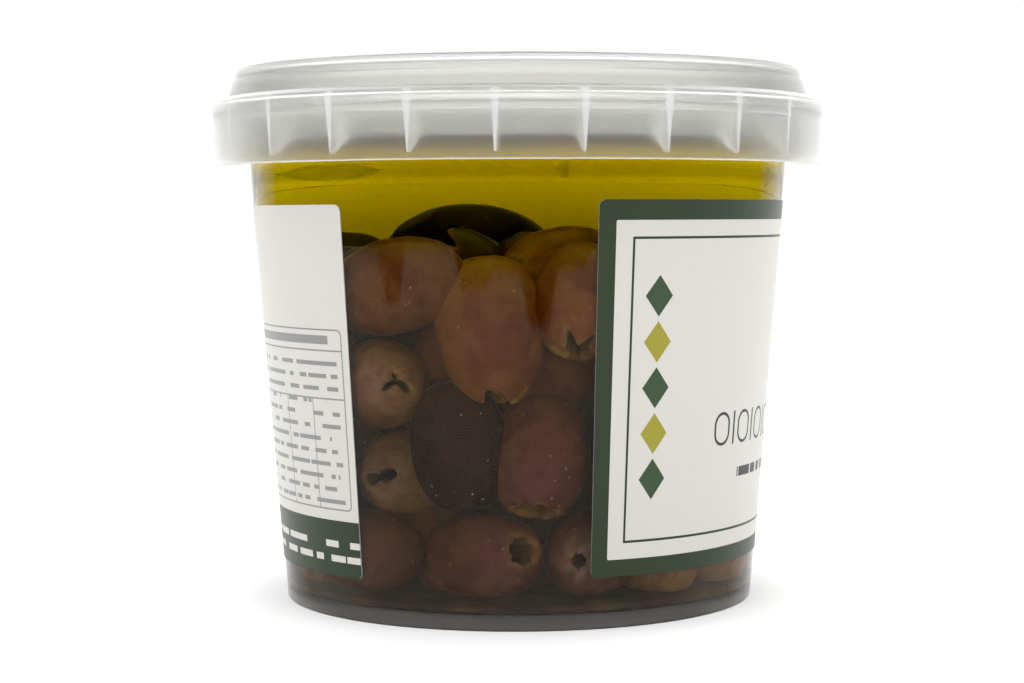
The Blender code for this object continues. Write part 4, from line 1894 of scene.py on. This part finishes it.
@dataclass
class Heap:
    """The heap of olives: those that show in the gap, the rest along the wall, and the core.

    The shown olives are placed one by one, the row ones lie along the wall, the cap ones on
    top of the heap, and the inner ones behind the rows. A mesh is a number of rings along an
    olive and of points round it. The bare bearings have no olive in the top row.
    """

    wall: Wall
    gap: float = 0.00045
    length: float = 0.0255
    width: float = 0.0175
    shown_from: float = -50.0
    shown_to: float = 30.0
    rows: tuple[tuple[float, int], ...] = ((0.0130, 11), (0.0300, 11), (0.0465, 12), (0.0605, 12))
    row_start: float = 0.25
    row_stagger: float = 0.5
    row_jitter: float = 2.0
    row_lift: float = 0.0012
    row_lean: Span = (15.0, 85.0)
    row_turn: float = 10.0
    row_scale: Span = (0.93, 1.05)
    row_tones: int = 5
    top_lean: float = 80.0
    bare: tuple[Span, ...] = ((175.0, 199.0), (298.0, 310.0))
    cap_rings: tuple[tuple[float, float, int], ...] = ((0.0, 0.0610, 1), (0.0195, 0.0590, 6))
    cap_jitter: float = 6.0
    cap_tilt: float = 12.0
    cap_tones: tuple[Tones, ...] = (Tones.BROWN, Tones.GREEN, Tones.PLUM)
    inner_jitter: float = 6.0
    inner_lift: Span = (-0.002, 0.001)
    inner_lean: float = 80.0
    inner_turn: float = 20.0
    inner_scale: float = 0.92
    inner_depth: Span = (0.0125, 0.0150)
    inner_tones: tuple[Tones, ...] = (Tones.PLUM, Tones.DARK, Tones.RUST)
    core_inset: float = 0.0150
    core_top: float = 0.0580
    core_round: float = 0.0060
    bed_gap: float = 0.0001
    bed_heights: tuple[float, float, float] = (0.0040, 0.0024, 0.0014)
    core_corner: float = 0.002
    core_side: float = 0.004
    core_segments: int = 96
    shown_mesh: tuple[int, int] = (72, 76)
    row_mesh: tuple[int, int] = (34, 36)
    inner_mesh: tuple[int, int] = (24, 28)
    seed: int = 11
    shown: tuple[Olive, ...] = (
        Olive(-6.8, 0.0533, -4.0, 6.0, 0.0276, 0.0192, 0.0, Tones.MAUVE, Cut.STAR, True, 20.0,
              0.42, 0.05, -0.12, 0.80),
        Olive(-30.5, 0.0615, 76.0, 0.0, 0.0265, 0.0172, 0.0, Tones.RUST, Cut.ROUND, True, 0.0),
        Olive(-38.0, 0.0437, 84.0, -46.0, 0.0250, 0.0168, 0.0, Tones.BROWN, Cut.CROSS, False, 60.0,
              0.30, 0.12),
        Olive(-33.5, 0.0276, -15.0, 86.0, 0.0225, 0.0158, 0.0008, Tones.UMBER, Cut.SLIT, True, 0.0,
              0.26, 0.03),
        Olive(-15.2, 0.0327, -7.0, 0.0, 0.0245, 0.0172, 0.0, Tones.DARK, Cut.ROUND, True, 0.0),
        Olive(5.6, 0.0308, 8.0, 22.0, 0.0244, 0.0166, 0.0, Tones.RED, Cut.ROUND, True, 0.0,
              0.46, 0.08),
        Olive(-11.0, 0.0122, 76.0, -46.0, 0.0290, 0.0168, 0.0, Tones.PLUM, Cut.ROUND, False, 0.0,
              0.32, 0.10),
        Olive(-43.5, 0.0128, 84.0, 0.0, 0.0240, 0.0156, 0.0, Tones.PLUM, Cut.CROSS, True, 0.0),
        Olive(20.5, 0.0129, -95.0, -62.0, 0.0240, 0.0162, 0.0, Tones.ROSE, Cut.ROUND, False, 0.0,
              0.18, 0.45),
        Olive(15.2, 0.0588, 12.0, 33.0, 0.0232, 0.0164, 0.0, Tones.MAUVE, Cut.STAR, True, 60.0,
              0.34, 0.12),
        Olive(15.0, 0.0648, 84.0, 28.0, 0.0235, 0.0155, 0.0125, Tones.AMBER, Cut.ROUND, True, 0.0,
              0.3, 0.16),
        Olive(-13.0, 0.0615, -35.0, 0.0, 0.0240, 0.0150, 0.0140, Tones.TORN, Cut.STAR, False, 0.0,
              0.5, 0.12),
        Olive(-40.0, 0.0622, 70.0, 0.0, 0.0240, 0.0150, 0.0110, Tones.DARK, Cut.ROUND, True, 0.0),
        Olive(-22.0, 0.0470, 20.0, 0.0, 0.0240, 0.0160, 0.0120, Tones.PLUM, Cut.ROUND, False, 0.0),
        Olive(9.0, 0.0440, 25.0, 0.0, 0.0240, 0.0160, 0.0110, Tones.PLUM, Cut.ROUND, False, 0.0),
        Olive(185.8, 0.0660, 6.0, 0.0, 0.0250, 0.0168, 0.0, Tones.GREEN, Cut.ROUND, True, 0.0),
    )

    def row_olives(self, rng: np.random.Generator) -> list[Olive]:
        """Olives in rows along the wall behind the labels and in the gap at the back.

        Args:
            rng: Source of the unevenness.

        Returns:
            The olives.
        """
        span = TURN - (self.shown_to - self.shown_from)
        tones = list(Tones)
        cuts = list(Cut)
        olives = []
        for row, (height, number) in enumerate(self.rows):
            pitch = span / number
            on_top = row == len(self.rows) - 1
            for index in range(number):
                place = index + self.row_start + self.row_stagger * (row % 2)
                bearing = self.shown_to + place * pitch
                if on_top and any(start < bearing < end for start, end in self.bare):
                    continue
                scale = rng.uniform(*self.row_scale)
                lean = self.top_lean if on_top else rng.uniform(*self.row_lean)
                olives.append(Olive(
                    bearing + rng.uniform(-self.row_jitter, self.row_jitter),
                    height + rng.uniform(-self.row_lift, self.row_lift),
                    rng.choice((-1.0, 1.0)) * lean,
                    rng.uniform(-self.row_turn, self.row_turn),
                    self.length * scale,
                    self.width * scale,
                    0.0,
                    tones[rng.integers(0, self.row_tones)],
                    cuts[rng.integers(0, len(cuts))],
                    bool(rng.integers(0, 2)),
                    rng.uniform(0.0, TURN),
                ))
        return olives

    def inner_olives(self, rng: np.random.Generator) -> list[Olive]:
        """Olives one layer in, which show through the gaps of the outer ones.

        Args:
            rng: Source of the unevenness.

        Returns:
            The olives.
        """
        olives = []
        for row, (height, number) in enumerate(self.rows):
            for index in range(number):
                bearing = (index + self.row_stagger * (row % 2)) * TURN / number
                olives.append(Olive(
                    bearing + rng.uniform(-self.inner_jitter, self.inner_jitter),
                    height + rng.uniform(*self.inner_lift),
                    rng.uniform(-self.inner_lean, self.inner_lean),
                    rng.uniform(-self.inner_turn, self.inner_turn),
                    self.length * self.inner_scale,
                    self.width * self.inner_scale,
                    rng.uniform(*self.inner_depth),
                    self.inner_tones[rng.integers(0, len(self.inner_tones))],
                ))
        return olives

    def cap_olives(self, rng: np.random.Generator) -> list[Olive]:
        """Olives that lie on top of the heap, in rings round its middle.

        Args:
            rng: Source of the unevenness.

        Returns:
            The olives.
        """
        olives = []
        for radius, height, number in self.cap_rings:
            for index in range(number):
                olives.append(Olive(
                    index * TURN / number + rng.uniform(-self.cap_jitter, self.cap_jitter),
                    height,
                    90.0 + rng.uniform(-self.cap_tilt, self.cap_tilt),
                    0.0,
                    self.length,
                    self.width,
                    self.wall.inner(height) - radius - self.width / 2.0,
                    self.cap_tones[rng.integers(0, len(self.cap_tones))],
                ))
        return olives

    def core(self) -> Shape:
        """Turned core behind the olives, with a bed that spreads over the floor. It stands in for the
        olives further in, and its dark finish is painted shade.

        Returns:
            The core.
        """
        low = self.wall.floor_top + self.bed_gap
        top_radius = self.wall.inner(self.core_top) - self.core_inset
        low_radius = self.wall.inner(low) - self.core_inset
        bed_radius = self.wall.inner(low) - self.bed_gap
        slope, shoulder, edge = self.bed_heights
        path = [
            (0.0, self.core_top),
            (top_radius - self.core_round, self.core_top - self.core_round / 3.0),
            (top_radius, self.core_top - self.core_round),
            (low_radius, low + slope),
            (bed_radius - slope, low + shoulder),
            (bed_radius, low + edge),
            (bed_radius, low),
            (0.0, low),
        ]
        section = divided(rounded(path, self.core_corner), self.core_side)
        return lathe(section, self.core_segments)

    def build(self, skin: bpy.types.Material, shade: bpy.types.Material) -> None:
        """Makes the olives and the core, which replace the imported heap.

        Args:
            skin: Finish of the olives.
            shade: Finish of the core.
        """
        rng = np.random.default_rng(self.seed)
        shown = self.group("olives_shown", self.shown, self.shown_mesh, rng, skin)
        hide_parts("olives")
        outer = self.row_olives(rng) + self.cap_olives(rng)
        self.group("olives_wall", outer, self.row_mesh, rng, skin)
        self.group("olives_inner", self.inner_olives(rng), self.inner_mesh, rng, skin)
        add_piece("olives_core", self.core(), [shade])

    def group(
        self,
        name: str,
        olives: Sequence[Olive],
        mesh: tuple[int, int],
        rng: np.random.Generator,
        skin: bpy.types.Material,
    ) -> bpy.types.Object:
        """Makes one piece of several olives.

        Args:
            name: Name of the piece.
            olives: The olives.
            mesh: Number of rings along an olive and of points round it.
            rng: Source of their unevenness.
            skin: Their finish.

        Returns:
            The piece.
        """
        shapes = [olive.shape(rng, self.wall, self.gap, mesh) for olive in olives]
        piece = add_piece(name, joined(shapes), [skin])
        return piece


@dataclass
class Oil:
    """The oil round the olives, which reaches just into the wall and creeps up it."""

    wall: Wall
    level: float = 0.0860
    reach: float = 0.0001
    creep: float = 0.0019
    creep_width: float = 0.0015
    creep_behind: float = 0.02
    creep_sides: Span = (-0.3, 0.4)
    first_ring: float = 0.00015
    surface_rings: int = 22
    side_rings: int = 29
    segments: int = 192

    def wet_to(self) -> float:
        """Height up to which the wall is wet."""
        return self.level + self.creep

    def build(self, oil: bpy.types.Material) -> None:
        """Makes the oil. Near the wall its surface rises by creep times exp(-distance / width).

        The rise is less at the back, where the share falls smoothly with the bearing.

        Args:
            oil: Finish of the oil.
        """
        low = self.wall.floor_top - self.reach
        top = self.wet_to()
        edge = self.wall.inner(top) + self.reach
        away = np.concatenate([[0.0], np.geomspace(self.first_ring, edge, self.surface_rings)])
        rise = self.creep * np.exp(-away / self.creep_width)
        surface = np.stack([edge - away, self.level + rise], axis=1)
        surface[-1, 0] = 0.0
        height = np.linspace(low, top, self.side_rings + 1)[:-1]
        side = np.stack([self.wall.inner(height) + self.reach, height], axis=1)
        shape = lathe(np.concatenate([[[0.0, low]], side, surface]), self.segments)
        raised = shape.points[:, 2] > self.level
        x, y, z = shape.points[raised].T
        facing_front = smooth_step(-y / np.hypot(x, y), *self.creep_sides)
        share = self.creep_behind + (1.0 - self.creep_behind) * facing_front
        shape.points[raised, 2] = self.level + (z - self.level) * share
        add_piece("oil", shape, [oil], SHARP_EDGE)


@dataclass
class Studio:
    """Floor, soft light and the camera at the photograph's angle.

    The camera's focal length and shift are in pixels of the frame, and its angles in degrees.
    """

    frame_width: float = 1024.0
    focal_pixels: float = 2209.1
    distance: float = 0.4336
    camera_height: float = 0.07367
    pitch: float = 3.254
    roll: float = 0.202
    centre_shift: float = 6.23
    sensor: float = 36.0
    clip: Span = (0.01, 50.0)
    floor_reach: float = 6.0
    floor_grey: float = 0.93
    floor_roughness: float = 0.9
    sky: float = 1.08
    sky_seen: float = 1.02
    front_loss: float = 0.12
    front: Span = (0.1, -0.75)
    overhead_gain: float = 1.1
    overhead: Span = (0.50, 0.9)
    bounces: tuple[int, int, int] = (28, 24, 16)

    def add_camera(self) -> None:
        """Makes the camera, and sets it as the scene's own."""
        data = bpy.data.cameras.new("camera")
        data.sensor_width = self.sensor
        data.lens = self.focal_pixels / self.frame_width * self.sensor
        data.shift_x = -self.centre_shift / self.frame_width
        data.clip_start, data.clip_end = self.clip
        camera = bpy.data.objects.new("camera", data)
        bpy.context.scene.collection.objects.link(camera)
        place = Matrix.Translation((0.0, -self.distance, self.camera_height))
        tilt = Matrix.Rotation(math.radians(90.0 - self.pitch), 4, "X")
        rolled = Matrix.Rotation(math.radians(-self.roll), 4, "Z")
        camera.matrix_world = place @ tilt @ rolled
        bpy.context.scene.camera = camera

    def add_floor(self) -> None:
        """Makes the plain pale floor."""
        corners = np.array([(-1.0, -1.0, 0.0), (1.0, -1.0, 0.0), (1.0, 1.0, 0.0), (-1.0, 1.0, 0.0)])
        square = Shape(corners * self.floor_reach, np.array([[0, 1, 2, 3]]), np.zeros((0, 3), int))
        mesh = square.mesh("floor")
        material, graph = new_material("floor_paint")
        grey = (self.floor_grey, self.floor_grey, self.floor_grey, 1.0)
        inputs = {"Base Color": grey, "Roughness": self.floor_roughness}
        close_material(graph, graph.node("ShaderNodeBsdfPrincipled", None, inputs))
        mesh.materials.append(material)
        floor = bpy.data.objects.new("floor", mesh)
        bpy.context.scene.collection.objects.link(floor)

    def add_light(self) -> None:
        """Makes the soft light: a white sky, dimmer in front, with a bright patch overhead."""
        world = bpy.data.worlds.new("studio")
        bpy.context.scene.world = world
        world.use_nodes = True
        graph = Graph(world.node_tree)
        _, y, z = graph.parts(graph.node("ShaderNodeTexCoord", None, None, "Generated"))
        in_front = y.step(*self.front) * self.front_loss
        level = self.sky - in_front + z.step(*self.overhead) * self.overhead_gain
        seen = graph.node("ShaderNodeLightPath", None, None, "Is Camera Ray")
        strength = seen * self.sky_seen + (1.0 - seen) * level
        inputs = {"Color": (*CLEAR, 1.0), "Strength": strength}
        sky = graph.node("ShaderNodeBackground", None, inputs)
        graph.close("ShaderNodeOutputWorld", {"Surface": sky})

    def set_view(self) -> None:
        """Plain colours, and light paths long enough for plastic round oil."""
        scene = bpy.context.scene
        scene.view_settings.view_transform = "Standard"
        scene.view_settings.look = "None"
        cycles = scene.cycles
        cycles.max_bounces, cycles.transmission_bounces, cycles.transparent_max_bounces = self.bounces

    def build(self) -> None:
        """Makes all of the studio."""
        self.set_view()
        self.add_camera()
        self.add_floor()
        self.add_light()


DARK_GREEN = (0.025, 0.040, 0.022)
LEAF_GREEN = (0.040, 0.072, 0.034)
LIME = (0.30, 0.27, 0.035)
WHITE = (0.572, 0.560, 0.522)
GREY_INK = (0.24, 0.24, 0.23)
DARK_INK = (0.035, 0.035, 0.035)
FRONT_CREASE = Crease(along=75.0, up=33.0, length=18.0)
RIB_MILK = Milk(share=0.75, colour=(1.0, 1.0, 0.98), roughness=0.25)
RIB_AIRY = 0.65
LID_MILK = Milk(0.13, (0.93, 0.93, 0.91), 0.34, passing=(0.95, 0.95, 0.94))


def front_print() -> tuple[Ink, ...]:
    """Print of the front label: a green border, a white field, a line and a plain ornament.

    Returns:
        The inks, the lowest first.
    """
    inks: list[Ink] = [
        Ink(-1.0, 130.0, 0.0, 90.0, DARK_GREEN),
        RoundBox(3.1, 104.0, 12.5, 72.9, WHITE, 0.3),
        Outline(6.2, 100.9, 15.4, 70.0, DARK_GREEN, 0.2, 0.45),
    ]
    for index, low in enumerate((23.0, 31.2, 39.4, 47.6, 55.8)):
        inks.append(Lozenge(9.0, 14.6, low, low + 7.4, (LEAF_GREEN, LIME)[index % 2]))
    for left in (27.0, 35.0, 43.0, 51.0, 59.0, 67.0, 75.0):
        inks.append(Outline(left, left + 5.0, 31.5, 37.7, DARK_INK, 2.4, 0.55))
        inks.append(Ink(left + 6.2, left + 6.8, 31.5, 37.7, DARK_INK))
    inks.append(WordBars(36.0, 74.0, 25.2, 28.6, DARK_INK, 3.6, 0.5, 3.0))
    return tuple(inks)


def back_print() -> tuple[Ink, ...]:
    """Print of the back label: a ruled table with bars for words, and a green foot.

    Returns:
        The inks, the lowest first.
    """
    return (
        Ink(-1.0, 130.0, 0.0, 18.3, DARK_GREEN),
        WordBars(60.0, 107.0, 10.6, 16.0, WHITE, 2.7, 0.45, 4.0),
        Outline(62.0, 105.6, 20.2, 53.4, GREY_INK, 1.2, 0.3),
        Ink(62.0, 105.6, 49.3, 49.6, GREY_INK),
        Ink(62.0, 105.6, 40.5, 40.8, GREY_INK),
        Ink(86.6, 86.85, 20.2, 40.6, GREY_INK),
        Ink(96.3, 96.55, 20.2, 40.6, GREY_INK),
        WordBars(64.0, 104.0, 21.4, 48.6, GREY_INK, 2.3, 0.34, 3.2),
        Ink(66.0, 102.0, 50.6, 52.2, GREY_INK),
    )


def main() -> None:
    """Builds every piece in order."""
    logging.basicConfig(level=logging.INFO, format="%(name)s: %(message)s")
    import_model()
    Studio().build()
    wall = Wall()
    oil = Oil(wall)
    tub = Tub(wall)
    lid = Lid(tub.rim_top, tub.shoulder_high)
    ribs = FrostedPlastic("rib_plastic", RIB_MILK, airy=RIB_AIRY).make()
    tub.build(TubPlastic(tub, oil.wet_to(), oil.creep).make(), ribs)
    lid.build(FrostedPlastic("lid_plastic", LID_MILK, panel=lid.panel_radius).make())
    glued = LabelBack().make()
    front = Label(
        "label_front_skin", "label_front", "front_label", wall, start=16.0, low=0.0094, high=0.0765
    )
    front.build(LabelPaper("front_print", WHITE, front_print(), FRONT_CREASE).make(), glued)
    back = Label(
        "label_back_skin", "label_back", "back_label", wall, start=-164.0, low=0.0079, high=0.0758
    )
    back.build(LabelPaper("back_print", WHITE, back_print()).make(), glued)
    Heap(wall).build(OliveSkin().make(), DeepShade().make())
    oil.build(OliveOil(wall, oil.level).make())


if __name__ == "__main__":
    main()
